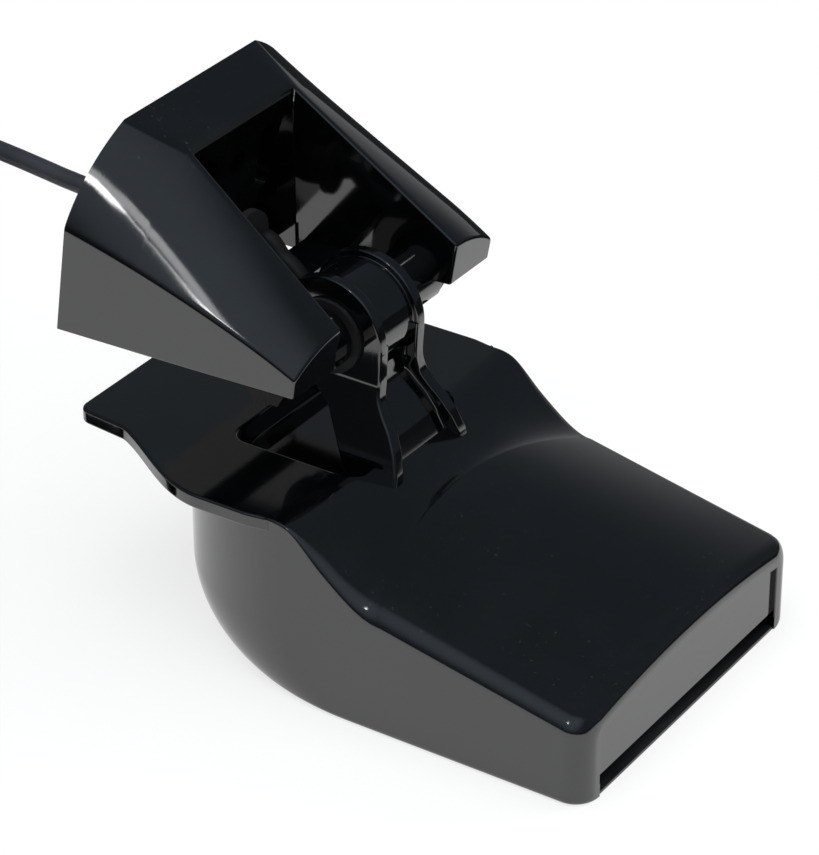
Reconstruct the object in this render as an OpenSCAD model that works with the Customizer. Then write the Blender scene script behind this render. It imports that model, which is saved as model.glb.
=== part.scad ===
// Transom-mount sonar transducer on a kick-up bracket, with its cable and connector.
// Frame: +X runs aft to the tail, +Y to starboard, +Z up; the housing stands on Z = 0.

/* [Housing] */
// Length from the front of the flange to the tail
body_len = 129; // [120:1:145]
// Width of the hull below the flange
hull_w = 81.6; // [78:0.2:90]
// Height of the deck above the bottom
deck_z = 41; // [40:0.5:46]
// Distance from the tail back to the foot of the ramp at the sides
tail_len = 46; // [42:1:52]
// Distance from the tail back to the crest of the ramp
crest_from_tail = 68.5; // [66:0.5:72]
// Height of the tail end at its sides
tail_side_h = 18.1; // [17.5:0.1:21]
// Rise of the tail end at its middle
tail_crown = 3.7; // [2:0.1:6]
// Height of the foot of the ramp at the sides
valley_side_h = 27; // [25:0.5:29]
// Rise of the foot of the ramp at its middle
valley_crown = 8.8; // [6:0.2:10]
// How far the foot of the ramp bows forward at its middle
valley_bow = 7.5; // [4:0.5:9]
// Radius of the edge round the tail deck
tail_edge_r = 3; // [1.5:0.5:4]
// Radius of the upright corners of the tail
tail_corner_r = 5; // [4:0.5:7]
// Gap from the front of the flange to the bow of the hull
bow_setback = 19.5; // [16:0.5:24]
// Length of the rounded bow in plan
bow_len = 37.5; // [32:0.5:42]
// Radius of the forefoot seen from the side
forefoot_r = 26; // [18:1:30]
// Bevel along the bottom edge of the hull
bottom_bevel = 1.2; // [0.6:0.1:2]

/* [Flange] */
// Width of the flange beside the crest
flange_w = 83; // [83:0.5:92]
// Thickness of the flange
flange_t = 3.2; // [2.5:0.1:4.5]
// Width of the flange at its front edge
tab_front_w = 54.4; // [50:0.2:56]
// Width of the tab where the flange starts to widen
tab_back_w = 56.4; // [55:0.2:62]
// Length of the tab
tab_len = 12.5; // [10:0.5:15]
// Length of the S-shaped widening behind the tab
tab_flare = 28; // [24:0.5:32]
// Radius of the tab's front corners
tab_corner_r = 3; // [2:0.5:5]

/* [Deck pocket and end panel] */
// Length of the pocket in front of the arm
pocket_len = 30.4; // [28:0.2:32]
// Width of the pocket
pocket_w = 38.6; // [34:0.2:42]
// Depth of the pocket
pocket_depth = 5; // [3:0.5:6]
// Distance of the pocket's end aft of the crest
pocket_past = 2.4; // [1:0.2:3]
// Width of the frame round the end panel
panel_frame = 1.4; // [1:0.1:2.5]
// Depth of the end panel below its frame
panel_depth = 0.8; // [0.4:0.1:1.2]
// Height of the slot under the end panel, and of the base plate
slot_h = 4; // [3:0.2:5]
// Depth of the slot under the end panel
slot_depth = 4; // [3:0.2:6]
// Width of the corner posts beside the slot
slot_post = 6.4; // [5:0.2:9]

/* [Arm] */
// Height of the pivot above the bottom
pivot_z = 64; // [62:0.5:68]
// Distance of the pivot forward of the crest
pivot_from_crest = 11.5; // [10:0.5:13]
// Radius of the head's rim discs
head_r = 12.5; // [11.5:0.25:13]
// Width of the head across its faces
head_w = 16; // [14:0.5:17]
// Thickness of each rim disc
head_rim = 2.6; // [2:0.2:4]
// Depth of the barrel below the rim discs
barrel_drop = 1.3; // [0.8:0.1:2]
// Width of the arm at its foot
arm_foot_w = 27; // [25:0.5:29]
// Width of the rims beside the scooped web
arm_rim = 3; // [2.4:0.2:4]
// Depth of the scoop in the aft face
scoop_depth = 3; // [2:0.2:4]

/* [Bracket] */
// Height of the bracket's bottom edge
bracket_z = 65; // [64.5:0.5:67]
// Length of the bracket along its bottom
bracket_len = 56.6; // [54:0.2:60]
// Distance of the bracket's tip aft of the pivot
tip_from_pivot = 11.8; // [11:0.1:12.5]
// Width of the bracket at the root
root_w = 74.4; // [72:0.2:80]
// Width of the bracket at the tip
tip_w = 69.4; // [67:0.2:72]
// Outward lean of the side walls, per unit of height
side_lean = 0.05; // [0:0.01:0.1]
// Height of the side wall at the root
root_side_h = 25.2; // [23:0.2:27]
// Height of the side wall at the tip
tip_side_h = 4.6; // [4:0.2:7]
// Height of the flat top at the root
root_top_h = 41.6; // [39:0.2:44]
// Width of the flat top at the root
root_top_w = 43.6; // [40:0.2:47]
// Height of the trough's rim at the root block
trough_top_h = 36.2; // [34:0.2:38]
// Height of the trough's rim at the tip
tip_top_h = 9.6; // [9:0.2:11]
// Bulge of the rounded shoulder at the root
shoulder_bulge = 2.3; // [1:0.1:3]
// Rake of the mounting face in degrees
root_rake = 9.6; // [4:0.2:12]
// Thickness of the root block at the trough
root_block = 19.6; // [18:0.2:21]
// Width of the trough at the root
trough_root_w = 34.2; // [32:0.2:36]
// Width of the trough at the tip
trough_tip_w = 41; // [39:0.5:43]
// Width of the flat land beside the trough
rim_land = 1; // [0.8:0.1:2]
// Thickness of the bracket's walls
bracket_wall = 3; // [2.4:0.2:3.4]
// Radius of the pivot bosses
boss_r = 8.5; // [8:0.1:9]
// Thickness of the root plate
root_plate = 6; // [5:0.5:8]
// Width of the two mounting slots
screw_slot_w = 5.2; // [4.6:0.2:6]
// Height of the two mounting slots
screw_slot_h = 15; // [10:0.5:17]
// Distance between the two mounting slots
screw_slot_gap = 20; // [18:0.5:22]
// Height of the slots' middle above the bottom edge
screw_slot_rise = 23.5; // [22:0.5:25]
// Diameter of the locking screw's hole
lock_hole_d = 5; // [4:0.5:6]
// Height of the locking screw's hole above the bottom edge
lock_hole_rise = 26; // [24:0.5:29]

/* [Pivot hardware] */
// Diameter of the pivot bolt
bolt_d = 6; // [5:0.5:6]
// Width of the bolt's head and of the nut across flats
bolt_flats = 10; // [9:0.5:10]
// Height of the bolt's head
bolt_head_h = 4; // [3:0.5:4]
// Height of the nut
nut_h = 5; // [4:0.5:5]
// Thickness of the steel washers
washer_t = 1.2; // [0.8:0.1:1.6]
// Diameter of the steel washers
washer_d = 12; // [11:0.5:13]
// Thickness of the friction washers
friction_t = 1; // [0.6:0.1:1.4]
// Diameter of the friction washers
friction_d = 16; // [14:0.5:17]
// Outer diameter of the bush in the head
bush_d = 9; // [8:0.5:10]
// Clearance of the bolt in the bush, on the radius
bolt_fit = 0.05; // [0.02:0.01:0.09]
// Clearance of still pieces, on the radius
still_fit = 0.02; // [0.01:0.01:0.05]

/* [Sounding element] */
// Diameter of the ceramic disc
piezo_d = 44; // [38:1:45]
// Thickness of the ceramic disc
piezo_t = 10; // [8:0.5:11]
// Thickness of the matching layer
match_t = 2; // [1:0.5:2.5]
// Wall of the cork ring
cork_wall = 3.8; // [3:0.2:4.4]
// Thickness of the cork backing
cork_t = 4; // [3:0.5:4.5]
// Distance of the element forward of the tail
element_from_tail = 54.5; // [52:0.5:57]
// Thickness of the circuit board
board_t = 1.6; // [1:0.2:2]
// Width of the circuit board
board_w = 28; // [24:1:32]
// Outer diameter of the tuning coil
coil_d = 14; // [11:0.5:14.5]
// Height of the tuning coil
coil_h = 5; // [4:0.5:5.5]

/* [Cable] */
// Diameter of the cable
cable_d = 4; // [3.6:0.1:4.4]
// Height of the cable's hole above the bracket's bottom edge
cable_rise = 10.5; // [9.5:0.5:11.5]
// Middle diameter of the coiled cable
coil_mid_d = 52; // [50:1:60]
// Turns side by side in the coil
coil_rows = 6; // [4:1:7]
// Layers of turns in the coil, an even number so that the last turn ends outside
coil_layers = 6; // [4:2:8]
// Length of the run from the coil to the connector
tail_run = 44; // [40:1:60]
// Width of the tie round the coil
tie_w = 9; // [6:0.5:12]
// Thickness of the tie
tie_t = 1.2; // [0.8:0.1:2]

/* [Connector] */
// Diameter of the connector body
plug_d = 15; // [13:0.5:17]
// Length of the connector body
plug_len = 24; // [20:0.5:30]
// Length of the strain relief
boot_len = 26; // [22:1:34]
// Diameter of the coupling ring
ring_d = 18.4; // [17.5:0.1:20]
// Length of the coupling ring
ring_len = 13; // [10:0.5:16]
// Number of grip ribs on the coupling ring
ring_ribs = 18; // [12:1:24]
// Diameter of a contact pin
pin_d = 1.5; // [1:0.1:2]
// Number of contact pins in the circle
pin_count = 5; // [3:1:6]

/* [Hidden] */
$fn = 64;
eps = 0.01;
cut = 1;
BLACK = "#15181b";
CABLE_GREY = "#34373b";

tail_x = body_len / 2;
front_x = -body_len / 2;
hull_hw = hull_w / 2;
flange_hw = flange_w / 2;
crest_x = tail_x - crest_from_tail;
valley_x = tail_x - tail_len;
pivot_x = crest_x - pivot_from_crest;
tip_x = pivot_x + tip_from_pivot;
root_x = tip_x - bracket_len;
head_hw = head_w / 2;
boss_in = head_hw + friction_t;
element_x = tail_x - element_from_tail;

// Lofting: rings of points joined by triangles, with a flat cap at each end
function ring_sides(rings, n) = [
    for (i = [0 : rings - 2], j = [0 : n - 1])
        let (a = i * n + j, b = i * n + (j + 1) % n, c = a + n, d = b + n)
        each [[a, c, b], [b, c, d]]
];
module loft(rings) {
    n = len(rings[0]);
    last = (len(rings) - 1) * n;
    polyhedron(
        points = [for (ring = rings) each ring],
        faces = concat(
            [[for (j = [0 : n - 1]) j]],
            ring_sides(len(rings), n),
            [[for (j = [n - 1 : -1 : 0]) last + j]]
        )
    );
}

// A tube of even section swept along points; the rings turn with the path and stay upright
function unit(v) = v / norm(v);
function heading(path, i) = unit(path[min(i + 1, len(path) - 1)] - path[max(i - 1, 0)]);
module tube(path, d, sides = 10) {
    loft([
        for (i = [0 : len(path) - 1])
            let (
                ahead = heading(path, i),
                side = unit(cross([0, 0, 1], ahead)),
                up = cross(ahead, side)
            )
            [for (j = [0 : sides - 1]) path[i] + d / 2 * (cos(360 * j / sides) * side + sin(360 * j / sides) * up)]
    ]);
}

// Tail deck and ramp: crowned across, lowest at the sides
function crown(y) = 1 - pow(y / hull_hw, 2);
function valley_at(y) = valley_x - valley_bow * crown(y);
function valley_top(y) = valley_side_h + valley_crown * crown(y);
function tail_top(y) = tail_side_h + tail_crown * crown(y);
function ramp_share(t) = pow(1 - t, 2) * (1 + 1.36 * t);

ramp_steps = [0, 0.1, 0.22, 0.36, 0.5, 0.65, 0.82, 1];
edge_angles = [90, 60, 30, 0];
crown_share = [0.85, 0.68, 0.5, 0.33, 0.16, 0];
edge_in = [for (a = edge_angles) tail_edge_r * (1 - sin(a))];
edge_drop = [for (a = edge_angles) tail_edge_r * (1 - cos(a))];

// Half of a cross-section's top edge, from the side to the middle: distance in and drop
function half_top(hw) = concat(
    [for (i = [0 : 3]) [hw - edge_in[i], edge_drop[i]]],
    [for (s = crown_share) [s * (hw - tail_edge_r), 0]]
);
function across(hw) = let (half = half_top(hw)) concat(
    half,
    [for (i = [len(half) - 2 : -1 : 0]) [-half[i][0], half[i][1]]]
);
// One ring of the aft body: the deck from starboard to port, then the bottom
function aft_ring(hw, side_x, tops) = concat(
    tops,
    [[side_x, -hw, bottom_bevel], [side_x, bottom_bevel - hw, 0],
     [side_x, hw - bottom_bevel, 0], [side_x, hw, bottom_bevel]]
);
function ramp_ring(t) = aft_ring(
    hull_hw, crest_x + t * (valley_x - crest_x),
    [for (p = across(hull_hw)) [
        crest_x + t * (valley_at(p[0]) - crest_x), p[0],
        valley_top(p[0]) + (deck_z - valley_top(p[0])) * ramp_share(t) - p[1]
    ]]
);
function corner_hw(x) = let (start = tail_x - tail_corner_r)
    x <= start ? hull_hw
    : hull_hw - tail_corner_r + sqrt(max(pow(tail_corner_r, 2) - pow(x - start, 2), 0));
function tail_ring(x, drop) = let (hw = corner_hw(x)) aft_ring(
    hw, x,
    [for (p = across(hw)) [
        x, p[0],
        valley_top(p[0]) - p[1] - drop
            + (tail_top(p[0]) - valley_top(p[0])) * (x - valley_at(p[0])) / (tail_x - valley_at(p[0]))
    ]]
);
aft_start = crest_x - 4;
module aft_body() {
    corner_steps = [tail_x - tail_corner_r, tail_x - tail_edge_r - 1];
    loft(concat(
        [aft_ring(hull_hw, aft_start, [for (p = across(hull_hw)) [aft_start, p[0], deck_z - p[1]]])],
        [for (t = ramp_steps) ramp_ring(t)],
        [for (x = corner_steps) tail_ring(x, 0)],
        [for (a = [0, 30, 60, 90]) tail_ring(
            tail_x - tail_edge_r * (1 - sin(a)), tail_edge_r * (1 - cos(a)))]
    ));
}

// Fore body: a rounded bow in plan with a rounded forefoot
bow_x = front_x + bow_setback;
fore_levels = [0, bottom_bevel, 4, 8, 13, 19, forefoot_r, deck_z - flange_t / 2];
function forefoot(z) = z >= forefoot_r ? 0 : forefoot_r - sqrt(pow(forefoot_r, 2) - pow(forefoot_r - z, 2));
function fore_ring(z) = let (
    reach = bow_len - forefoot(z),
    hw = hull_hw - (z == 0 ? bottom_bevel : 0)
) concat(
    [for (a = [90 : 7.5 : 270]) [bow_x + bow_len + reach * cos(a), hw * sin(a), z]],
    [[crest_x - 1, -hw, z], [crest_x - 1, hw, z]]
);
module fore_body() {
    loft([for (z = fore_levels) fore_ring(z)]);
}

// Flange plan: a tab, an S-shaped widening and a straight run to the crest
function flare(t) = 0.6 * sin(90 * t) + 0.4 * t * t * (3 - 2 * t);
function flange_side() = concat(
    [for (a = [0 : 22.5 : 90]) [
        front_x + tab_corner_r * (1 - sin(90 - a)) ,
        tab_front_w / 2 - tab_corner_r * (1 - sin(a))
    ]],
    [for (t = [0 : 0.125 : 1]) [
        front_x + tab_len + t * tab_flare,
        tab_back_w / 2 + (flange_hw - tab_back_w / 2) * flare(t)
    ]],
    [[crest_x - 5, flange_hw], [crest_x, hull_hw]]
);
module flange() {
    side = flange_side();
    other = [for (i = [len(side) - 1 : -1 : 0]) [side[i][0], -side[i][1]]];
    translate([0, 0, deck_z - flange_t])
        linear_extrude(flange_t)
            polygon(concat(side, other));
}

// Arm: side outline with a round head, drawn in X and Z
arm_foot_z = deck_z - 9;
function head_point(a) = [pivot_x + head_r * cos(a), pivot_z + head_r * sin(a)];
arm_front = [crest_x - 2, arm_foot_z];
arm_neck = [crest_x - 11, pivot_z - 14.3];
arm_back = [
    [pivot_x + head_r - 0.4, pivot_z - 7], [pivot_x + head_r - 0.2, pivot_z - 11],
    [pivot_x + head_r + 1.4, pivot_z - 13.8], [pivot_x + head_r + 3.6, pivot_z - 16.8],
    [pivot_x + head_r + 5.4, pivot_z - 20.5], [pivot_x + head_r + 6.7, pivot_z - 25],
    [pivot_x + head_r + 7.4, arm_foot_z]
];
module arm_outline() {
    polygon(concat(
        [arm_front, arm_neck],
        [for (a = [205 : -7.5 : -5]) head_point(a)],
        arm_back
    ));
}
module scoop_outline() {
    reach = 20;
    polygon(concat(
        [[pivot_x + head_r - scoop_depth, pivot_z - 4]],
        [for (p = arm_back) [p[0] - scoop_depth, p[1]]],
        [[arm_back[6][0] + reach, arm_foot_z], [arm_back[6][0] + reach, pivot_z - 4]]
    ));
}
// Front outline of the arm or of the scoop, as narrow as the head beside the friction washers
neck_fit = 0.3;
module arm_taper(foot_hw, top_hw) {
    top = pivot_z + head_r + 1;
    neck = pivot_z - friction_d / 2 - neck_fit;
    polygon([
        [-foot_hw, arm_foot_z - cut], [-foot_hw, arm_foot_z + 5], [-top_hw, neck], [-top_hw, top],
        [top_hw, top], [top_hw, neck], [foot_hw, arm_foot_z + 5], [foot_hw, arm_foot_z - cut]
    ]);
}
module stand_xz(w) {
    translate([0, w / 2, 0]) rotate([90, 0, 0]) linear_extrude(w) children();
}
module stand_yz(x0, x1) {
    translate([x0, 0, 0]) rotate([90, 0, 90]) linear_extrude(x1 - x0) children();
}
module y_rod(d, y0, y1) {
    translate([pivot_x, y0, pivot_z]) rotate([-90, 0, 0]) cylinder(d = d, h = y1 - y0);
}
module arm() {
    difference() {
        intersection() {
            stand_xz(arm_foot_w + 2 * cut) arm_outline();
            stand_yz(front_x, tail_x) arm_taper(arm_foot_w / 2, head_hw);
        }
        intersection() {
            stand_xz(arm_foot_w) scoop_outline();
            stand_yz(front_x, tail_x) arm_taper(arm_foot_w / 2 - arm_rim, head_hw - arm_rim);
        }
        // waist of the barrel between the two rim discs, over the top of the head
        difference() {
            y_rod(2 * head_r + cut, head_rim - head_hw, head_hw - head_rim);
            y_rod(2 * (head_r - barrel_drop), -head_hw, head_hw);
            translate([front_x, -head_hw, 0]) cube([body_len, head_w, pivot_z - head_r * 0.45]);
        }
    }
}

// Cable duct through the arm: a straight bore that passes in front of the pivot
duct_lean = 30;
duct_offset = 7.6;
duct_wall_fit = 0.15;
duct_d = cable_d + 2 * duct_wall_fit;
duct_dir = [-sin(duct_lean), 0, cos(duct_lean)];
duct_mid = [pivot_x, 0, pivot_z] + duct_offset * [-cos(duct_lean), 0, -sin(duct_lean)];
duct_out = sqrt(pow(head_r - barrel_drop, 2) - pow(duct_offset, 2));
gland_d = 9;
gland_len = 5;
bay_top = deck_z - pocket_depth - 5;
duct_low = (bay_top - duct_mid[2]) / duct_dir[2];
gland_seat = duct_low + 3;
inner_end = 4;
module duct_rod(d, from, to) {
    translate(duct_mid + from * duct_dir) rotate([0, -duct_lean, 0]) cylinder(d = d, h = to - from);
}

// Hollows of the housing, closed by the base plate
pocket_fit = 0.3;
cork_d = piezo_d + 2 * (pocket_fit / 2 + cork_wall);
element_top = slot_h + match_t + piezo_t + cork_t;
bay_front = bow_x + 19;
bay_back = crest_x + 10;
bay_hw = board_w / 2 + 1;
tail_bay_front = element_x + 18;
tail_bay_back = tail_x - slot_depth - 3;
tail_bay_hw = hull_hw - 7;
tail_bay_top = tail_side_h - 4.6;
board_z = element_top + 3.4;
board_x0 = bay_front + 1;
board_x1 = bay_back - 1;
stand_d = 4;
stand_in = 3;
coil_in = 1;

module element_pocket() {
    translate([element_x, 0, slot_h - cut]) cylinder(d = cork_d + pocket_fit, h = element_top - slot_h + cut + pocket_fit);
}
module front_bay() {
    translate([bay_front, -bay_hw, slot_h - cut])
        cube([bay_back - bay_front, 2 * bay_hw, bay_top - slot_h + cut]);
}
module tail_bay(fit = 0) {
    difference() {
        translate([tail_bay_front + fit, fit - tail_bay_hw, slot_h - cut])
            cube([tail_bay_back - tail_bay_front - 2 * fit, 2 * (tail_bay_hw - fit), tail_bay_top - slot_h + cut - fit]);
        translate([element_x, 0, 0]) cylinder(d = cork_d + pocket_fit - eps + 2 * fit, h = element_top);
    }
}
plate_in = 3.4;
plate_fit = 0.1;
module plate_outline(fit) {
    back = tail_x - slot_depth;
    hw = hull_hw - plate_in - fit;
    reach = bow_len - forefoot(slot_h) - plate_in - fit;
    arc = [for (a = [90 : 10 : 270]) [bow_x + bow_len + reach * cos(a), hw * sin(a)]];
    polygon(concat(arc, [[back, -hw], [back, hw]]));
}
module board_stands() {
    for (x = [board_x0 + stand_in, board_x1 - stand_in], y = [-1, 1])
        translate([x, y * (board_w / 2 - stand_in), board_z + board_t])
            cylinder(d = stand_d, h = bay_top - board_z - board_t + cut);
}

// End panel: a shallow recess inside a thin frame, with a slot below it
panel_hw = hull_hw - tail_corner_r - panel_frame;
module panel_recess() {
    top = [for (s = [-1 : 0.125 : 1]) [
        s * panel_hw, tail_top(s * panel_hw) - tail_edge_r - panel_frame
    ]];
    stand_yz(tail_x - panel_depth, tail_x + cut)
        polygon(concat(top, [[panel_hw, slot_h - eps], [-panel_hw, slot_h - eps]]));
}
module slot_cut() {
    hw = hull_hw - slot_post;
    translate([tail_x - slot_depth, -hw, -cut]) cube([slot_depth + cut, 2 * hw, slot_h + cut]);
}
module deck_pocket() {
    r = 4;
    x1 = crest_x + pocket_past;
    translate([x1 - pocket_len, 0, deck_z - pocket_depth])
        linear_extrude(pocket_depth + cut)
            offset(r) translate([r, r - pocket_w / 2]) square([pocket_len - 2 * r, pocket_w - 2 * r]);
}

// Moulded housing with its flange and arm
module housing() {
    color(BLACK) difference() {
        union() {
            difference() {
                union() {
                    aft_body();
                    fore_body();
                    flange();
                }
                deck_pocket();
                panel_recess();
                slot_cut();
                translate([0, 0, -cut]) linear_extrude(slot_h + cut) plate_outline(0);
                element_pocket();
                front_bay();
                tail_bay();
            }
            arm_over_bay();
            board_stands();
        }
        duct_rod(duct_d, duct_low - 2, duct_out + 4);
        duct_rod(gland_d + 2 * still_fit, duct_low - 8, gland_seat);
        y_rod(bush_d, -head_hw - cut, head_hw + cut);
    }
}
// The arm, cut off level where the bay below it begins
module arm_over_bay() {
    difference() {
        arm();
        translate([front_x, -hull_hw, 0]) cube([body_len, hull_w, bay_top + eps]);
    }
}

// Inner pieces
module base_plate() {
    color("#1d2124") linear_extrude(slot_h) plate_outline(plate_fit);
}
module disc(d, z0, t) {
    translate([element_x, 0, z0]) cylinder(d = d, h = t);
}
module matching_layer() {
    color("#8f8a6a") disc(piezo_d, slot_h, match_t);
}
module piezo_disc() {
    color("#d8d2c0") disc(piezo_d, slot_h + match_t, piezo_t);
}
module cork_ring() {
    color("#b58a57") difference() {
        disc(cork_d, slot_h, match_t + piezo_t);
        disc(piezo_d + pocket_fit, slot_h - cut, match_t + piezo_t + 2 * cut);
    }
}
lead_d = 1.2;
lead_y = 5;
lead_x = board_x1 - 6;
module lead_rods(d, z0, z1) {
    for (y = [-lead_y, lead_y])
        translate([lead_x, y, z0]) cylinder(d = d, h = z1 - z0);
}
module cork_backing() {
    color("#a97c4a") difference() {
        disc(cork_d, element_top - cork_t, cork_t);
        lead_rods(lead_d + 0.4, element_top - cork_t - cut, element_top + cut);
    }
}
module circuit_board() {
    color("#2f6b3f") translate([board_x0, -board_w / 2, board_z])
        cube([board_x1 - board_x0, board_w, board_t]);
}
module tuning_coil() {
    color("#a4582b") translate([board_x0 + coil_in + coil_d / 2, 0, board_z + board_t]) difference() {
        cylinder(d = coil_d, h = coil_h);
        translate([0, 0, -cut]) cylinder(d = coil_d / 2.4, h = coil_h + 2 * cut);
    }
}
module element_leads() {
    color("#c23b2e") lead_rods(lead_d, element_top - cork_t, board_z);
}
module potting() {
    color("#3a3630") intersection() {
        tail_bay(plate_fit);
        translate([front_x, -hull_hw, slot_h]) cube([body_len, hull_w, deck_z]);
    }
}
module inner_cable() {
    color(CABLE_GREY) duct_rod(cable_d, duct_low - inner_end, duct_out);
}
module cable_gland() {
    color("#4a4d50") difference() {
        duct_rod(gland_d, gland_seat - gland_len, gland_seat);
        duct_rod(cable_d + 2 * still_fit, gland_seat - gland_len - cut, gland_seat + cut);
    }
}
module pivot_bush() {
    color("#c9c3b4") difference() {
        y_rod(bush_d - 2 * still_fit, -head_hw, head_hw);
        y_rod(bolt_d + 2 * bolt_fit, -head_hw - cut, head_hw + cut);
    }
}

// Bracket: cross-sections lofted from root to tip, narrowing and falling
function along(x) = (x - root_x) / bracket_len;
function blend(a, b, t) = a + (b - a) * t;
trough_x = root_x + root_block;
rake_run = tan(root_rake);
root_edge_x = root_x + rake_run * root_top_h;
function on_block(x) = (x - root_edge_x) / (trough_x - root_edge_x);
function on_cheek(x) = (x - trough_x) / (tip_x - trough_x);
function rim_top(x) = bracket_z + (x < trough_x
    ? blend(root_top_h, trough_top_h, on_block(x)) : blend(trough_top_h, tip_top_h, on_cheek(x)));
function side_top(x) = bracket_z + root_side_h
    + (tip_side_h - root_side_h) * (0.64 * along(x) + 0.36 * pow(along(x), 2));
function side_hw(x, z) = blend(root_w, tip_w, along(x)) / 2 + side_lean * (z - bracket_z);
function trough_hw(x) = blend(trough_root_w, trough_tip_w, on_cheek(x)) / 2;
function land_hw(x) = x < trough_x
    ? blend(root_top_w / 2, trough_root_w / 2 + rim_land, on_block(x)) : trough_hw(x) + rim_land;
shoulder_steps = 8;
// A shoulder is a curve from the land to the side, bowed out by its bulge
function shoulder(x, t) = let (
    a = [land_hw(x), rim_top(x)],
    b = [side_hw(x, side_top(x)), side_top(x)],
    out = unit([a[1] - b[1], b[0] - a[0]]),
    bow = 4 * t * (1 - t) * shoulder_bulge * (1 - 0.55 * along(x))
) blend(a, b, t) + bow * out;
function bracket_ring(x, wall) = let (
    half = [for (i = [0 : shoulder_steps]) shoulder(x, i / shoulder_steps)],
    low = bracket_z - (wall > 0 ? cut : 0)
) concat(
    [[x, side_hw(x, low) - wall, low]],
    [for (i = [shoulder_steps : -1 : 0]) [x, half[i][0] - wall, half[i][1] - wall]],
    [for (p = half) [x, wall - p[0], p[1] - wall]],
    [[x, wall - side_hw(x, low), low]]
);
block_steps = 4;
cheek_steps = 6;
module bracket_form(wall) {
    loft(concat(
        [for (i = [0 : block_steps - 1]) bracket_ring(blend(root_x - cut, trough_x, i / block_steps), wall)],
        [for (i = [0 : cheek_steps]) bracket_ring(blend(trough_x, tip_x, i / cheek_steps), wall)]
    ));
}
module root_slice(x0, x1) {
    // slab parallel to the raked mounting face
    low = bracket_z - 2 * cut - boss_r;
    high = bracket_z + root_top_h + 10;
    stand_xz(root_w + 10) polygon([
        [x0 + rake_run * (low - bracket_z), low], [x1 + rake_run * (low - bracket_z), low],
        [x1 + rake_run * (high - bracket_z), high], [x0 + rake_run * (high - bracket_z), high]
    ]);
}
module trough() {
    far = tip_x + 4;
    translate([0, 0, bracket_z - boss_r - cut]) linear_extrude(root_top_h + boss_r + 2 * cut)
        polygon([
            [trough_x, -trough_hw(trough_x)], [far, -trough_hw(far)],
            [far, trough_hw(far)], [trough_x, trough_hw(trough_x)]
        ]);
}
module cheek_hollow(side) {
    near = trough_x - bracket_wall;
    far = tip_x - bracket_wall;
    wide = root_w;
    difference() {
        intersection() {
            bracket_form(bracket_wall);
            translate([0, 0, bracket_z - 2 * cut]) linear_extrude(root_top_h)
                polygon([
                    [root_x, side * (trough_root_w / 2 + bracket_wall)],
                    [near, side * (trough_hw(near) + bracket_wall)],
                    [far, side * (trough_hw(far) + bracket_wall)],
                    [far, side * wide], [root_x, side * wide]
                ]);
        }
        root_slice(root_x - 20, root_x + root_plate);
    }
}
module root_cores() {
    // coring of the root block from below, beside the cable's web
    web = cable_d / 2 + 4.5;
    hw = trough_root_w / 2 - 1;
    top = screw_slot_rise - screw_slot_h / 2 - 3;
    for (y = [web, -hw])
        translate([root_x + root_plate + 1, y, bracket_z - cut])
            cube([root_block - root_plate - 1 - bracket_wall, hw - web, top + cut]);
}
boss_out = trough_tip_w / 2 + bracket_wall;
module root_bore(y, z, d) {
    translate([root_x - 10, y, bracket_z + z]) rotate([0, 90, 0]) cylinder(d = d, h = root_block + 20);
}
module screw_slot(y) {
    half = (screw_slot_h - screw_slot_w) / 2;
    for (z = [-half, half]) root_bore(y, screw_slot_rise + z, screw_slot_w);
    translate([root_x - 10, y - screw_slot_w / 2, bracket_z + screw_slot_rise - half])
        cube([root_block + 20, screw_slot_w, 2 * half]);
}
grommet_d = cable_d + 4;
module bracket() {
    color(BLACK) difference() {
        union() {
            difference() {
                bracket_form(0);
                trough();
                cheek_hollow(1);
                cheek_hollow(-1);
                root_cores();
            }
            y_rod(2 * boss_r, boss_in, boss_out);
            y_rod(2 * boss_r, -boss_out, -boss_in);
        }
        root_slice(root_x - 20, root_x);
        y_rod(bolt_d + 2 * bolt_fit, -boss_out - cut, boss_out + cut);
        screw_slot(screw_slot_gap / 2);
        screw_slot(-screw_slot_gap / 2);
        root_bore(0, lock_hole_rise, lock_hole_d);
        root_bore(0, cable_rise, grommet_d);
    }
}

// Pivot hardware
module hex_y(flats, y0, y1) {
    translate([pivot_x, y0, pivot_z]) rotate([-90, 0, 0])
        cylinder(d = flats / cos(30), h = y1 - y0, $fn = 6);
}
seat = boss_out + washer_t;
thread_out = 1.5;
module pivot_bolt() {
    color("silver") union() {
        y_rod(bolt_d, -seat - nut_h - thread_out, seat + eps);
        hex_y(bolt_flats, seat, seat + bolt_head_h);
    }
}
module ring_y(d_out, d_in, y0, y1) {
    difference() {
        y_rod(d_out, y0, y1);
        y_rod(d_in, y0 - cut, y1 + cut);
    }
}
module bolt_washers() {
    color("lightgrey") {
        ring_y(washer_d, bolt_d + 2 * bolt_fit, boss_out, seat);
        ring_y(washer_d, bolt_d + 2 * bolt_fit, -seat, -boss_out);
    }
}
module pivot_nut() {
    color("silver") difference() {
        hex_y(bolt_flats, -seat - nut_h, -seat);
        y_rod(bolt_d + 2 * still_fit, -seat - nut_h - cut, -seat + cut);
    }
}
face_gap = 0.05;
module friction_washers() {
    color("#5b5f63") {
        ring_y(friction_d, bolt_d + 2 * bolt_fit, head_hw + face_gap, boss_in);
        ring_y(friction_d, bolt_d + 2 * bolt_fit, -boss_in, -head_hw - face_gap);
    }
}

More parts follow.
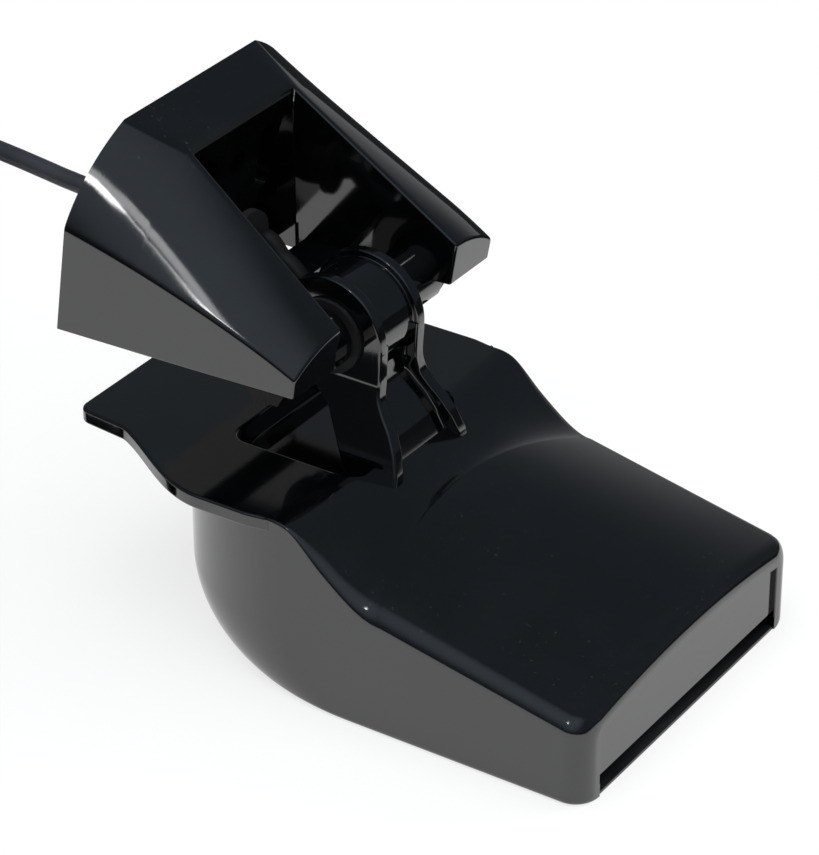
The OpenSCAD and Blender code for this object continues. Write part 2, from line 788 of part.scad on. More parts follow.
// Cable: hole in the root, lead through the trough, free cord, coil and connector
cable_z = bracket_z + cable_rise;
grommet_lip = 1.6;
grommet_x0 = root_x + rake_run * cable_rise - grommet_lip;
grommet_x1 = trough_x + grommet_lip;
module x_rod(d, x0, x1) {
    translate([x0, 0, cable_z]) rotate([0, 90, 0]) cylinder(d = d, h = x1 - x0);
}
module cable_grommet() {
    lip_d = grommet_d + 3;
    color("#24272a") difference() {
        union() {
            x_rod(grommet_d - 2 * still_fit, grommet_x0 + 2 * grommet_lip, grommet_x1 - grommet_lip + eps);
            x_rod(lip_d, grommet_x1 - grommet_lip, grommet_x1);
        }
        x_rod(cable_d + 2 * still_fit, grommet_x0 - cut, grommet_x1 + cut);
    }
}
cord_x0 = grommet_x0 + 2 * grommet_lip;
duct_end = duct_mid + duct_out * duct_dir;
module lead_in_bracket() {
    out = 1 * duct_dir;
    color(CABLE_GREY) tube([
        duct_end, duct_end + out, duct_end + [-3, 0, 3.7], duct_end + [-6, 0, 5.6],
        [grommet_x1 + 4, 0, cable_z + 0.4], [grommet_x1, 0, cable_z], [cord_x0, 0, cable_z]
    ], cable_d);
}

// Route of the free cord from the root to the coil, then from the coil to the connector
cord_route = [
    [-70, 0, 75], [-82, 0, 75], [-92, 0, 76], [-104, 0, 77.2], [-115, 0.8, 76.8], [-126, 3.2, 74],
    [-136, 7.2, 69.2], [-145, 12, 62.6], [-153.5, 17.2, 54.6], [-161.5, 22.2, 45.8], [-169.5, 26.8, 36.8],
    [-177.5, 30.6, 28.2], [-186, 32.9, 20.4], [-195, 32.6, 13.8], [-203.5, 29, 8.8], [-210.6, 22.4, 5.4],
    [-215.8, 13.6, 3.4], [-219, 3, 2.5], [-220.2, -10, 2.2]
];
module cable() {
    color(CABLE_GREY) tube(concat([[cord_x0, 0, cable_z], [cord_x0 - cable_d, 0, cable_z]], cord_route), cable_d);
}
coil_out_r = coil_mid_d / 2 + coil_rows * cable_d / 2;
coil_in_r = coil_mid_d / 2 - coil_rows * cable_d / 2;
coil_fit = 0.2;
coil_z = tie_t + coil_fit;
coil_top = coil_z + coil_layers * cable_d;
coil_reach = coil_out_r + cable_d / 2 + coil_fit;
cord_end = cord_route[len(cord_route) - 1];
coil_c = [cord_end[0] + coil_reach, cord_end[1]];
// Upright section through the wound cable, grown on every side
module coil_section(grow) {
    translate([coil_in_r - grow, coil_z - grow])
        square([coil_out_r - coil_in_r + 2 * grow, coil_top - coil_z + 2 * grow]);
}
module cable_coil() {
    color(CABLE_GREY) translate(coil_c) rotate_extrude() coil_section(0);
}
module coil_tie() {
    color("#101214") translate(coil_c) intersection() {
        rotate_extrude() difference() {
            coil_section(coil_fit + tie_t);
            coil_section(coil_fit);
        }
        translate([0, -tie_w / 2, 0]) cube([2 * coil_out_r, tie_w, 2 * coil_top]);
    }
}
tail_y = coil_c[1] - coil_reach;
plug_z = ring_d / 2;
boot_x = coil_c[0] + tail_run;
// The tail leaves the top layer and sinks to the connector's axis
tail_z = coil_z + (coil_layers - 0.5) * cable_d;
tail_end = 3;
tail_route = concat(
    [for (t = [0 : 0.1 : 1]) [
        coil_c[0] + t * (tail_run - tail_end), tail_y, tail_z + (plug_z - tail_z) * t * t * (3 - 2 * t)
    ]],
    [[boot_x - coil_fit, tail_y, plug_z]]
);
module cable_tail() {
    color(CABLE_GREY) tube(tail_route, cable_d);
}
module plug_turn(profile) {
    translate([boot_x, tail_y, plug_z]) rotate([0, 90, 0]) rotate_extrude() polygon(profile);
}
boot_end_d = plug_d - 3;
module connector_boot() {
    color("#17191c") plug_turn([
        [0, 0], [cable_d / 2 + 1, 0], [cable_d / 2 + 1.2, 2], [boot_end_d / 2, boot_len - 4],
        [boot_end_d / 2, boot_len], [0, boot_len]
    ]);
}
socket_r = plug_d / 2 - 1.8;
socket_depth = 9;
module connector_body() {
    z1 = boot_len + plug_len;
    color("#1b1e21") plug_turn([
        [0, boot_len], [plug_d / 2 - 0.6, boot_len], [plug_d / 2, boot_len + 0.6], [plug_d / 2, z1],
        [socket_r, z1], [socket_r, z1 - socket_depth], [0, z1 - socket_depth]
    ]);
}
ring_fit = 0.15;
module coupling_ring() {
    z0 = boot_len + plug_len - ring_len + 2;
    color("#222529") translate([boot_x, tail_y, plug_z]) rotate([0, 90, 0]) difference() {
        translate([0, 0, z0]) cylinder(d = ring_d, h = ring_len);
        translate([0, 0, z0 - cut]) cylinder(d = plug_d + 2 * ring_fit, h = ring_len + 2 * cut);
        for (i = [0 : ring_ribs - 1])
            rotate(360 * (i + 0.5) / ring_ribs) translate([ring_d / 2 + 0.6, 0, z0 + 2])
                cylinder(d = 2.4, h = ring_len - 4);
    }
}
module connector_pins() {
    z1 = boot_len + plug_len;
    color("gold") translate([boot_x, tail_y, plug_z]) rotate([0, 90, 0])
        for (i = [0 : pin_count - 1])
            rotate(360 * i / pin_count) translate([socket_r * 0.55, 0, z1 - socket_depth])
                cylinder(d = pin_d, h = socket_depth - 2);
}

bracket();
pivot_bolt();
bolt_washers();
pivot_nut();
friction_washers();
cable_grommet();
lead_in_bracket();
cable();
cable_coil();
coil_tie();
cable_tail();
connector_boot();
connector_body();
coupling_ring();
connector_pins();
housing();
pivot_bush();
base_plate();
matching_layer();
piezo_disc();
cork_ring();
cork_backing();
circuit_board();
tuning_coil();
element_leads();
potting();
inner_cable();
cable_gland();
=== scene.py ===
"""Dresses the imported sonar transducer: smooth mouldings, wound cable, connector, finishes and stage."""

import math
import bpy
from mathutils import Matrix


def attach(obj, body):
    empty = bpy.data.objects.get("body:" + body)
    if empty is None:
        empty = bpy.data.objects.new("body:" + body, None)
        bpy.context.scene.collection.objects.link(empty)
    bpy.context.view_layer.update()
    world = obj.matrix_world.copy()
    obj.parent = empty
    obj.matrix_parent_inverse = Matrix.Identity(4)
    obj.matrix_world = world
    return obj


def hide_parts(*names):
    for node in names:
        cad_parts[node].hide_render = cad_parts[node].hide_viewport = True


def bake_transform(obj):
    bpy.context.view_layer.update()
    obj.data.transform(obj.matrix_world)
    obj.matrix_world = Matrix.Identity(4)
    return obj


bl_info = {
    "name": "Sonar transducer dressing",
    "version": (1, 0, 0),
    "blender": (4, 5, 0),
    "location": "3D View > Sidebar > Transducer",
    "description": "Builds the smooth mouldings, the cable and the finishes round the packed frame",
    "category": "Object",
}

from types import SimpleNamespace

import bmesh
import bpy
from bpy.props import FloatProperty, FloatVectorProperty, IntProperty, PointerProperty
from bpy.types import Operator, Panel, PropertyGroup
from mathutils import Matrix, Vector

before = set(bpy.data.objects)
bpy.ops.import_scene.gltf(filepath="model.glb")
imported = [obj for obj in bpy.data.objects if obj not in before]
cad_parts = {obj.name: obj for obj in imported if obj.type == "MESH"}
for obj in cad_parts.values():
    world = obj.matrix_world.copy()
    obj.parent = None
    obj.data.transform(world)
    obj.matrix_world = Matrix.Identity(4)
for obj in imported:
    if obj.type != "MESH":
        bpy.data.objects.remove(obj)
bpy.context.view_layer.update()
MM = 0.001
# Points this near, in metres, are merged
WELD = 2e-6
# Radii, in millimetres, that stand for the axis of a turned form
AXIS_R, CORE_R = 0.01, 0.02
# How far the weights fall towards the ends of an eased stretch
EASE_FALL = 0.9


# Settings

def length(label, millimetres, about):
    """A length in metres, with its default given in millimetres."""
    return FloatProperty(
        name=label, description=about, default=millimetres * MM, min=0.0, unit="LENGTH", precision=5
    )


def colour(label, rgb, about):
    return FloatVectorProperty(
        name=label, description=about, default=rgb, min=0.0, max=1.0, size=3, subtype="COLOR"
    )


class HousingSizes(PropertyGroup):
    body_len: length("Body length", 129, "From the front of the flange to the tail")
    hull_w: length("Hull width", 81.6, "Width of the hull below the flange")
    deck_z: length("Deck height", 41, "Height of the deck above the bottom")
    tail_len: length("Tail length", 46, "From the foot of the ramp at the sides to the tail")
    crest_from_tail: length("Crest", 68.5, "From the crest of the ramp to the tail")
    tail_side_h: length("Tail height", 18.1, "Height of the tail end at its sides")
    tail_crown: length("Tail crown", 3.7, "Rise of the tail end at its middle")
    valley_side_h: length("Ramp foot", 27, "Height of the foot of the ramp at its sides")
    valley_crown: length("Ramp foot crown", 8.8, "Rise of the foot of the ramp at its middle")
    valley_bow: length("Ramp foot bow", 7.5, "How far the foot of the ramp bows forward")
    tail_edge_r: length("Tail edge radius", 3, "Radius of the edge round the tail deck")
    tail_corner_r: length("Tail corner radius", 5, "Radius of the upright corners of the tail")
    bow_setback: length("Bow setback", 18, "From the front of the flange to the bow")
    bow_len: length("Bow length", 42, "Length of the rounded bow in plan")
    forefoot_h: length("Forefoot height", 16, "Height of the rounded forefoot")
    forefoot_depth: length("Forefoot depth", 12.4, "Depth of the rounded forefoot along the hull")
    bottom_bevel: length("Bottom edge", 1.2, "Radius of the bottom edge of the hull")
    flange_w: length("Flange width", 83, "Width of the flange beside the crest")
    flange_t: length("Flange thickness", 3.2, "Thickness of the flange")
    tab_front_w: length("Tab front width", 54.4, "Width of the flange at its front edge")
    tab_back_w: length("Tab back width", 56.4, "Width of the tab where the flange widens")
    tab_len: length("Tab length", 12.5, "Length of the tab")
    tab_flare: length("Tab flare", 28, "Length of the widening behind the tab")
    tab_corner_r: length("Tab corner radius", 3, "Radius of the tab's front corners")
    pocket_len: length("Pocket length", 30.4, "Length of the pocket in front of the arm")
    pocket_w: length("Pocket width", 38.6, "Width of the pocket")
    pocket_depth: length("Pocket depth", 5, "Depth of the pocket")
    pocket_past: length("Pocket past crest", 2.4, "From the crest to the aft end of the pocket")
    panel_frame: length("Panel frame", 1.4, "Width of the frame round the end panel")
    panel_depth: length("Panel depth", 0.8, "Depth of the end panel below its frame")
    slot_h: length("Slot height", 4, "Height of the slot under the end panel")
    slot_depth: length("Slot depth", 4, "Depth of the slot under the end panel")
    slot_post: length("Slot post", 6.4, "Width of the corner posts beside the slot")
    plate_in: length("Plate inset", 3.4, "From the side of the hull to the base plate")
    plate_fit: length("Plate clearance", 0.1, "Clearance round the base plate")
    tongue_t: length("Plate tongue", 0.7, "Thickness of the tongue that floors the slot")
    edge_r: length("Moulded edge", 0.6, "Radius of the small moulded edges")


class ArmSizes(PropertyGroup):
    pivot_z: length("Pivot height", 64, "Height of the pivot above the bottom")
    pivot_from_crest: length("Pivot setback", 11.5, "From the pivot to the crest")
    head_r: length("Head radius", 12.5, "Radius of the head's rim discs")
    head_w: length("Head width", 16, "Width of the head across its faces")
    head_rim: length("Head rim", 2.6, "Thickness of each rim disc")
    barrel_drop: length("Barrel drop", 1.3, "Depth of the barrel below the rim discs")
    foot_w: length("Foot width", 27, "Width of the arm at its foot")
    rim: length("Web rim", 3, "Width of the rims beside the scooped web")
    scoop: length("Scoop depth", 3, "Depth of the scoop in the aft face")
    neck_drop: length("Neck", 8.3, "From the pivot down to where the arm starts to widen")
    duct_d: length("Duct bore", 4.3, "Bore of the cable duct through the head")
    duct_offset: length("Duct offset", 7.6, "From the pivot to the middle of the duct")
    bush_d: length("Bush bore", 9, "Bore for the bush in the head")


class BracketSizes(PropertyGroup):
    bottom_z: length("Bottom edge", 65, "Height of the bracket's bottom edge")
    run: length("Length", 56.6, "Length of the bracket along its bottom")
    tip_from_pivot: length("Tip", 11.8, "From the pivot to the bracket's tip")
    root_w: length("Root width", 74.4, "Width of the bracket at the root")
    tip_w: length("Tip width", 69.4, "Width of the bracket at the tip")
    root_side_h: length("Root side height", 25.2, "Height of the side wall at the root")
    tip_side_h: length("Tip side height", 4.6, "Height of the side wall at the tip")
    root_top_h: length("Root top height", 41.6, "Height of the flat top at the root")
    root_top_w: length("Root top width", 43.6, "Width of the flat top at the root")
    trough_top_h: length("Rim height", 36.2, "Height of the trough's rim at the root block")
    tip_top_h: length("Tip rim height", 9.6, "Height of the trough's rim at the tip")
    bulge: length("Shoulder bulge", 2.3, "Bulge of the rounded shoulder at the root")
    block: length("Root block", 19.6, "Thickness of the root block at the trough")
    trough_root_w: length("Trough root width", 34.2, "Width of the trough at the root")
    trough_tip_w: length("Trough tip width", 41, "Width of the trough at the tip")
    land: length("Rim land", 1, "Width of the flat land beside the trough")
    wall: length("Wall", 3, "Thickness of the bracket's walls")
    boss_r: length("Boss radius", 6.5, "Radius of the pivot bosses")
    boss_hang: length("Boss hang", 4.2, "How far the flat-bottomed bosses hang below the bottom edge")
    bridge_t: length("Trough bridge", 2.4, "Thickness of the bridge that floors the trough")
    bridge_gap: length("Bridge gap", 1.9, "From the rim of the trough's back wall to the bridge")
    boss_in: length("Boss face", 9, "From the middle to the inner face of a boss")
    plate: length("Root plate", 6, "Thickness of the root plate")
    slot_w: length("Screw slot width", 5.2, "Width of the two mounting slots")
    slot_h: length("Screw slot height", 15, "Height of the two mounting slots")
    slot_gap: length("Screw slot distance", 20, "Distance between the two mounting slots")
    slot_rise: length("Screw slot rise", 23.5, "Height of the slots above the bottom edge")
    lock_d: length("Lock hole", 5, "Diameter of the locking screw's hole")
    lock_rise: length("Lock hole rise", 26, "Height of the locking screw's hole")
    cable_rise: length("Cable hole rise", 10.5, "Height of the cable's hole")
    cable_hole_d: length("Cable hole", 8, "Diameter of the cable's hole")
    bolt_hole_d: length("Bolt hole", 6.1, "Diameter of the pivot bolt's hole")
    edge_r: length("Moulded edge", 0.55, "Radius of the small moulded edges")


class CordSizes(PropertyGroup):
    cable_d: length("Cable", 4, "Diameter of the cable")
    coil_mid_d: length("Coil", 52, "Middle diameter of the coiled cable")
    coil_z: length("Coil height", 1.4, "Height of the coil's underside above the floor")
    coil_fit: length("Coil clearance", 0.2, "Clearance beside the coil")
    tail_run: length("Tail run", 44, "Length of the run from the coil to the connector")
    tail_end: length("Tail end", 3, "Straight end of the cable at the connector")
    plug_d: length("Connector", 15, "Diameter of the connector body")
    plug_len: length("Connector length", 24, "Length of the connector body")
    boot_len: length("Strain relief", 26, "Length of the strain relief")
    ring_d: length("Coupling ring", 18.4, "Diameter of the coupling ring")
    ring_len: length("Coupling ring length", 13, "Length of the coupling ring")
    pin_d: length("Contact pin", 1.5, "Diameter of a contact pin")


class CordCounts(PropertyGroup):
    rows: IntProperty(name="Rows", description="Turns side by side in the coil", default=6, min=2)
    layers: IntProperty(name="Layers", description="Layers of turns in the coil", default=6, min=2)
    ribs: IntProperty(name="Grip ribs", description="Ribs round the coupling ring", default=18, min=3)
    pins: IntProperty(name="Contact pins", description="Pins in the connector", default=5, min=1)
    boot_rings: IntProperty(name="Boot rings", description="Rings on the strain relief", default=7, min=1)


class FinishColours(PropertyGroup):
    black_plastic: colour("Black plastic", (0.0014, 0.0018, 0.0022), "Glossy plastic of the mouldings")
    window_plastic: colour("Window plastic", (0.012, 0.013, 0.014), "Satin plastic of the base plate")
    cable_jacket: colour("Cable jacket", (0.028, 0.031, 0.037), "Grey jacket of the cable")
    hardware: colour("Pivot hardware", (0.0035, 0.0035, 0.0038), "Blackened steel of the pivot hardware")
    rubber: colour("Rubber", (0.016, 0.016, 0.017), "Rubber of the grommet and washers")
    tie: colour("Tie", (0.010, 0.010, 0.011), "Woven tie round the coil")
    floor: colour("Floor", (0.93, 0.93, 0.93), "Pale floor of the stage")


class TransducerSettings(PropertyGroup):
    housing: PointerProperty(type=HousingSizes, name="Housing", description="Sizes of the housing")
    arm: PointerProperty(type=ArmSizes, name="Arm", description="Sizes of the arm")
    bracket: PointerProperty(type=BracketSizes, name="Bracket", description="Sizes of the bracket")
    cord: PointerProperty(type=CordSizes, name="Cable", description="Sizes of the cable and connector")
    counts: PointerProperty(type=CordCounts, name="Counts", description="Counts of repeats")
    colours: PointerProperty(type=FinishColours, name="Finishes", description="Colours of the finishes")


def settings():
    return bpy.context.scene.transducer


def lengths(group):
    """A group's lengths in millimetres."""
    return SimpleNamespace(**{key: getattr(group, key) / MM for key in type(group).__annotations__})


def sizes(*keys):
    return [lengths(getattr(settings(), key)) for key in keys]


# Mesh building, in millimetres

def steps(start, end, count):
    """count + 1 even values from start to end."""
    return [start + (end - start) * i / count for i in range(count + 1)]


def mix(a, b, t):
    return a + (b - a) * t


def smooth(t):
    return t * t * (3 - 2 * t)


def cosd(angle):
    return math.cos(math.radians(angle))


def sind(angle):
    return math.sin(math.radians(angle))


def circle(radius, count):
    """Points round a circle about nought."""
    return [(radius * cosd(360 * k / count), radius * sind(360 * k / count)) for k in range(count)]


def fillet(corner, radius, signs, count, back=False):
    """A quarter round inside a corner, which lies on the sides that the signs give; back turns its order."""
    turns = steps(90, 0, count) if back else steps(0, 90, count)
    return [
        (corner[0] + signs[0] * radius * (1 - sind(t)), corner[1] + signs[1] * radius * (1 - cosd(t)))
        for t in turns
    ]


def metres(point):
    return tuple(c * MM for c in point)


def broken(points, at):
    """Value at a place on a line through points, which are (place, value) in rising order."""
    if at <= points[0][0]:
        return points[0][1]
    for (p0, v0), (p1, v1) in zip(points, points[1:]):
        if at <= p1:
            return mix(v0, v1, (at - p0) / (p1 - p0))
    return points[-1][1]


def eased(points, at, reach):
    """The same line with its corners rounded over reach."""
    shares = steps(-1, 1, 12)
    weights = [1.0 - abs(s) * EASE_FALL for s in shares]
    return sum(w * broken(points, at + s * reach) for s, w in zip(shares, weights)) / sum(weights)


class Skin:
    """Points and faces of one closed form."""

    def __init__(self):
        self.points, self.faces = [], []

    def ring(self, points):
        first = len(self.points)
        self.points.extend(points)
        return list(range(first, len(self.points)))

    def band(self, a, b, closed=True):
        for i in range(len(a) if closed else len(a) - 1):
            j = (i + 1) % len(a)
            self.faces.append((a[i], a[j], b[j], b[i]))

    def bands(self, rings, closed=True):
        for a, b in zip(rings, rings[1:]):
            self.band(a, b, closed)

    def loft(self, rings):
        made = [self.ring(points) for points in rings]
        self.faces.append(tuple(reversed(made[0])))
        self.bands(made)
        self.faces.append(tuple(made[-1]))
        return self

    def turn_y(self, centre, profile, count=96):
        """Profile of (radius, y) turned about a line along Y through centre, which is (x, z)."""
        return self.loft([
            [(centre[0] + x, y, centre[1] + z) for x, z in circle(radius, count)] for radius, y in profile
        ])

    def turn_x(self, start, profile, count=72):
        """Profile of (along, radius) turned about a line along X from start."""
        return self.loft(rings_x(start, profile, count))


def rings_x(start, profile, count=72):
    return [
        [(start[0] + along, start[1] + y, start[2] + z) for y, z in circle(radius, count)]
        for along, radius in profile
    ]


def edit_mesh(mesh, *changes):
    """Runs changes, which take a bmesh, on a mesh."""
    form = bmesh.new()
    form.from_mesh(mesh)
    for change in changes:
        change(form)
    form.to_mesh(mesh)
    form.free()


def weld(form):
    bmesh.ops.remove_doubles(form, verts=form.verts, dist=WELD)
    bmesh.ops.dissolve_degenerate(form, edges=form.edges, dist=WELD)


def face_outwards(form):
    bmesh.ops.recalc_face_normals(form, faces=form.faces)


def seal(form):
    """Drops loose edges and fills the slivers that a cut leaves open."""
    bmesh.ops.delete(form, geom=[edge for edge in form.edges if edge.is_wire], context="EDGES")
    bmesh.ops.holes_fill(form, edges=[edge for edge in form.edges if edge.is_boundary], sides=4)


def split_large(form):
    """Splits the large faces, so that a face with several holes in it is cut cleanly."""
    bmesh.ops.triangulate(form, faces=[face for face in form.faces if len(face.verts) > 4])


def mesh_object(name, skin):
    """A mesh object in metres from a skin in millimetres, welded and facing outwards."""
    mesh = bpy.data.meshes.new(name)
    mesh.from_pydata([metres(p) for p in skin.points], [], skin.faces)
    edit_mesh(mesh, weld, face_outwards)
    made = bpy.data.objects.new(name, mesh)
    bpy.context.scene.collection.objects.link(made)
    return made


def settle(piece):
    """Applies a piece's modifiers, so that it is a plain mesh."""
    bpy.context.view_layer.update()
    view = bpy.context.evaluated_depsgraph_get()
    mesh = bpy.data.meshes.new_from_object(piece.evaluated_get(view))
    old = piece.data
    piece.modifiers.clear()
    piece.data = mesh
    mesh.name = piece.name
    if old.users == 0:
        bpy.data.meshes.remove(old)


def combine(piece, skins, operation, split=False):
    """Joins forms to a piece, or cuts them from it, one after the other."""
    for skin in skins:
        if split:
            edit_mesh(piece.data, split_large)
        other = mesh_object("form", skin)
        modifier = piece.modifiers.new("combine", "BOOLEAN")
        modifier.object, modifier.operation, modifier.solver = other, operation, "EXACT"
        settle(piece)
        bpy.data.objects.remove(other)
    return piece


def soften(piece, sharp):
    """Smooth shading, but for corners over an angle."""
    piece.data.shade_smooth()
    piece.data.set_sharp_from_angle(angle=math.radians(sharp))


def polish(piece):
    """Smooth shading with crisp corners, and normals that follow the large faces."""
    edit_mesh(piece.data, weld, seal)
    soften(piece, 34)
    normals = piece.modifiers.new("normals", "WEIGHTED_NORMAL")
    normals.keep_sharp, normals.weight = True, 60
    settle(piece)
    return piece


def paint(piece, material):
    piece.data.materials.clear()
    piece.data.materials.append(material)
    return piece


def prism_z(outline, z0, z1):
    return Skin().loft([[(x, y, z) for x, y in outline] for z in (z0, z1)])


def box(x0, x1, hw, z0, z1):
    """A block that is as wide to port as to starboard."""
    return prism_z([(x0, -hw), (x1, -hw), (x1, hw), (x0, hw)], z0, z1)


def inset(outline, distance):
    """A closed outline moved along its own normals; a positive distance goes to the left of travel."""
    moved = []
    count = len(outline)
    for i in range(count):
        a, b, c = outline[i - 1], outline[i], outline[(i + 1) % count]
        along = Vector((c[0] - a[0], c[1] - a[1]))
        if along.length < 1e-9:
            moved.append(b)
            continue
        along.normalize()
        moved.append((b[0] - along.y * distance, b[1] + along.x * distance))
    return moved


# Housing

# Laps, rounds and easings of the mouldings, in millimetres, degrees or shares
BILGE_RUN = 1.5
TAIL_SQUEEZE = 0.6
CREST_EASE = 0.12
DECK_LAP = 4.0
LEVEL_SPREAD = 1.5
FLANGE_LAP, FLANGE_CLOSE, FLANGE_TUCK, FLANGE_EASE = 3.5, 5, 0.1, 1.2
FORE_LAP, FORE_SET_IN = 3.0, 1.0
RAMP_BELLY = 1.36
EDGE_GROWTH = 0.4
FLARE_QUICK = 0.6
POCKET_CORNER, POCKET_FILLET = 4.0, 0.8
PANEL_SOFT, PLATE_SOFT = 0.25, 0.4
TONGUE_LOW, TONGUE_BACK = 0.05, 0.3
ARM_RIM_R, ARM_WEB_R = 0.5, 1.0
ARM_SINK, ARM_WIDE = 9, 5
ARM_FRONT_FOOT, ARM_FRONT_KNEE, HEAD_MEET = 2, (14.3, 11), 205
ARM_BACK_FOOT = 7.4
# The arm's aft outline: drops below the pivot, and reaches behind the head
ARM_BACK = ((25, 6.7), (20.5, 5.4), (16.8, 3.6), (13.8, 1.4), (11, -0.2), (7, -0.4))
ARM_EASE = (1.0, 1.2, 0.8)
DUCT_ENDS = (-20, 14)
HEAD_INNER = 0.6
DUCT_LEAN = 30


def hull_places(h):
    """Main places of the hull along X and Y."""
    tail_x = h.body_len / 2
    return SimpleNamespace(
        tail=tail_x, front=-tail_x, crest=tail_x - h.crest_from_tail, valley=tail_x - h.tail_len,
        bow=-tail_x + h.bow_setback, hw=h.hull_w / 2,
    )


def pivot_at(h, a):
    """Place of the pivot along X."""
    return hull_places(h).crest - a.pivot_from_crest


def forefoot(h, z):
    """How far the forefoot stands back at a height."""
    if z >= h.forefoot_h:
        return 0.0
    return h.forefoot_depth * (1 - math.sqrt(1 - (1 - z / h.forefoot_h) ** 2))


def bow_plan(h, p, z):
    """Middle and reach of the bow's ellipse in plan at a height."""
    back = forefoot(h, z)
    return p.bow + h.bow_len + BILGE_RUN * back, h.bow_len + (BILGE_RUN - 1) * back


def bow_share(h, p, x, z):
    """Width of the hull at a place, as a share of its full width."""
    middle, reach = bow_plan(h, p, z)
    past = (middle - x) / reach
    return 1.0 if past <= 0 else math.sqrt(max(1 - past * past, 0))


def side_levels(h):
    """Heights of the points up the side of the hull, closest at the bottom edge."""
    low = h.bottom_bevel
    rounded = [low * (1 - cosd(a)) for a in steps(0, 90, 5)]
    return rounded + [low + (h.forefoot_h - low) * t ** LEVEL_SPREAD for t in steps(0, 1, 16)[1:]]


def side_half(h, p, x, z, hw):
    """Half width of the hull's side at a place, with its rounded bottom edge."""
    low = max(h.bottom_bevel - z, 0)
    return (hw - h.bottom_bevel + math.sqrt(h.bottom_bevel ** 2 - low ** 2)) * bow_share(h, p, x, z)


def aft_form(h):
    """Ramp and tail: crowned across, lowest at the sides, with rounded edges."""
    p = hull_places(h)
    r = h.tail_edge_r

    def crown(y):
        return 1 - (y / p.hw) ** 2

    def valley_at(y):
        return p.valley - h.valley_bow * crown(y)

    def valley_top(y):
        return h.valley_side_h + h.valley_crown * crown(y)

    def tail_top(y):
        return h.tail_side_h + h.tail_crown * crown(y)

    def across(hw, edge=r):
        half = fillet((hw, 0), edge, (-1, 1), 9, back=True)
        half += [(s * (hw - edge), 0.0) for s in steps(1, 0, 16)[1:]]
        return half + [(-y, drop) for y, drop in reversed(half[:-1])]

    def ring(hw, side_x, tops):
        squeeze = TAIL_SQUEEZE if side_x > p.valley else 1.0
        low = h.bottom_bevel
        side = [
            (side_half(h, p, side_x, z, hw), z if z < low else low + (z - low) * squeeze)
            for z in side_levels(h)
        ]
        return tops + [(side_x, -y, z) for y, z in reversed(side)] + [(side_x, y, z) for y, z in side]

    def ramp_share(t):
        ease = CREST_EASE * (1 - max(t, 0))
        places = steps(t - ease, t + ease, 8)
        return sum(1.0 if q <= 0 else (1 - q) ** 2 * (1 + RAMP_BELLY * q) for q in places) / len(places)

    def ramp_ring(t):
        x = mix(p.crest, p.valley, t)
        hw = p.hw * bow_share(h, p, x, h.forefoot_h)
        edge = mix(h.edge_r, r, smooth(min(max(t / EDGE_GROWTH, 0), 1)))
        return ring(p.hw, x, [
            (mix(p.crest, valley_at(y), t), y,
             valley_top(y) + (h.deck_z - valley_top(y)) * ramp_share(t) - drop)
            for y, drop in across(hw, edge)
        ])

    def tail_share(x, y):
        return (x - valley_at(y)) / (p.tail - valley_at(y))

    def tail_ring(x, fall):
        start = p.tail - h.tail_corner_r
        hw = p.hw
        if x > start:
            hw += math.sqrt(max(h.tail_corner_r ** 2 - (x - start) ** 2, 0)) - h.tail_corner_r
        return ring(hw, x, [
            (x, y, mix(valley_top(y), tail_top(y), tail_share(x, y)) - drop - fall)
            for y, drop in across(hw)
        ])

    start = p.crest - DECK_LAP
    hw = p.hw * bow_share(h, p, start, h.forefoot_h)
    rings = [ring(p.hw, start, [(start, y, h.deck_z - drop) for y, drop in across(hw, h.edge_r)])]
    rings += [ramp_ring(t) for t in steps(-CREST_EASE, 1, 32)]
    flat_end = tail_ring(p.tail - h.tail_corner_r, 0)
    foot = rings[-1]
    rings += [
        [tuple(mix(a, b, t) for a, b in zip(q0, q1)) for q0, q1 in zip(foot, flat_end)]
        for t in steps(0, 1, 16)[1:]
    ]
    rings += [tail_ring(x, 0) for x in steps(p.tail - h.tail_corner_r, p.tail - r, 4)[1:-1]]
    rings += [tail_ring(x, fall) for x, fall in fillet((p.tail, 0), r, (-1, 1), 10)]
    return Skin().loft(rings)


def fore_form(h):
    """Rounded bow in plan with a rounded forefoot; its end stands inside the aft body."""
    p = hull_places(h)
    start = p.crest - DECK_LAP
    rings = []
    for z in side_levels(h) + steps(h.forefoot_h, h.deck_z - h.flange_t / 2, 3)[1:]:
        middle, reach = bow_plan(h, p, z)
        hw = side_half(h, p, p.tail, z, p.hw)
        first = math.degrees(math.acos((start - middle) / reach))
        end = (start + FORE_LAP, hw * sind(first) - FORE_SET_IN)
        arc = [(middle + reach * cosd(a), hw * sind(a), z) for a in steps(first, 360 - first, 100)]
        rings.append([(*end, z)] + arc + [(end[0], -end[1], z)])
    return Skin().loft(rings)


def flange_outline(h):
    """Flange in plan: a tab, an S-shaped widening and a run to the crest."""
    p = hull_places(h)
    r = h.tab_corner_r
    shoulder = p.front + h.tab_len

    def flare(t):
        return FLARE_QUICK * sind(90 * t) + (1 - FLARE_QUICK) * smooth(t)

    line = [(p.front + r, h.tab_front_w / 2), (shoulder, h.tab_back_w / 2)]
    line += [
        (shoulder + t * h.tab_flare, mix(h.tab_back_w, h.flange_w, flare(t)) / 2) for t in steps(0, 1, 30)[1:]
    ]
    end = p.crest - FLANGE_LAP
    line += [(end - FLANGE_CLOSE, h.flange_w / 2), (end, h.hull_w / 2 - FLANGE_TUCK)]
    side = fillet((p.front, h.tab_front_w / 2), r, (1, -1), 10, back=True)
    side += [(x, eased(line, x, FLANGE_EASE)) for x in steps(p.front + r, end, 84)[1:]]
    return side + [(x, -y) for x, y in reversed(side)]


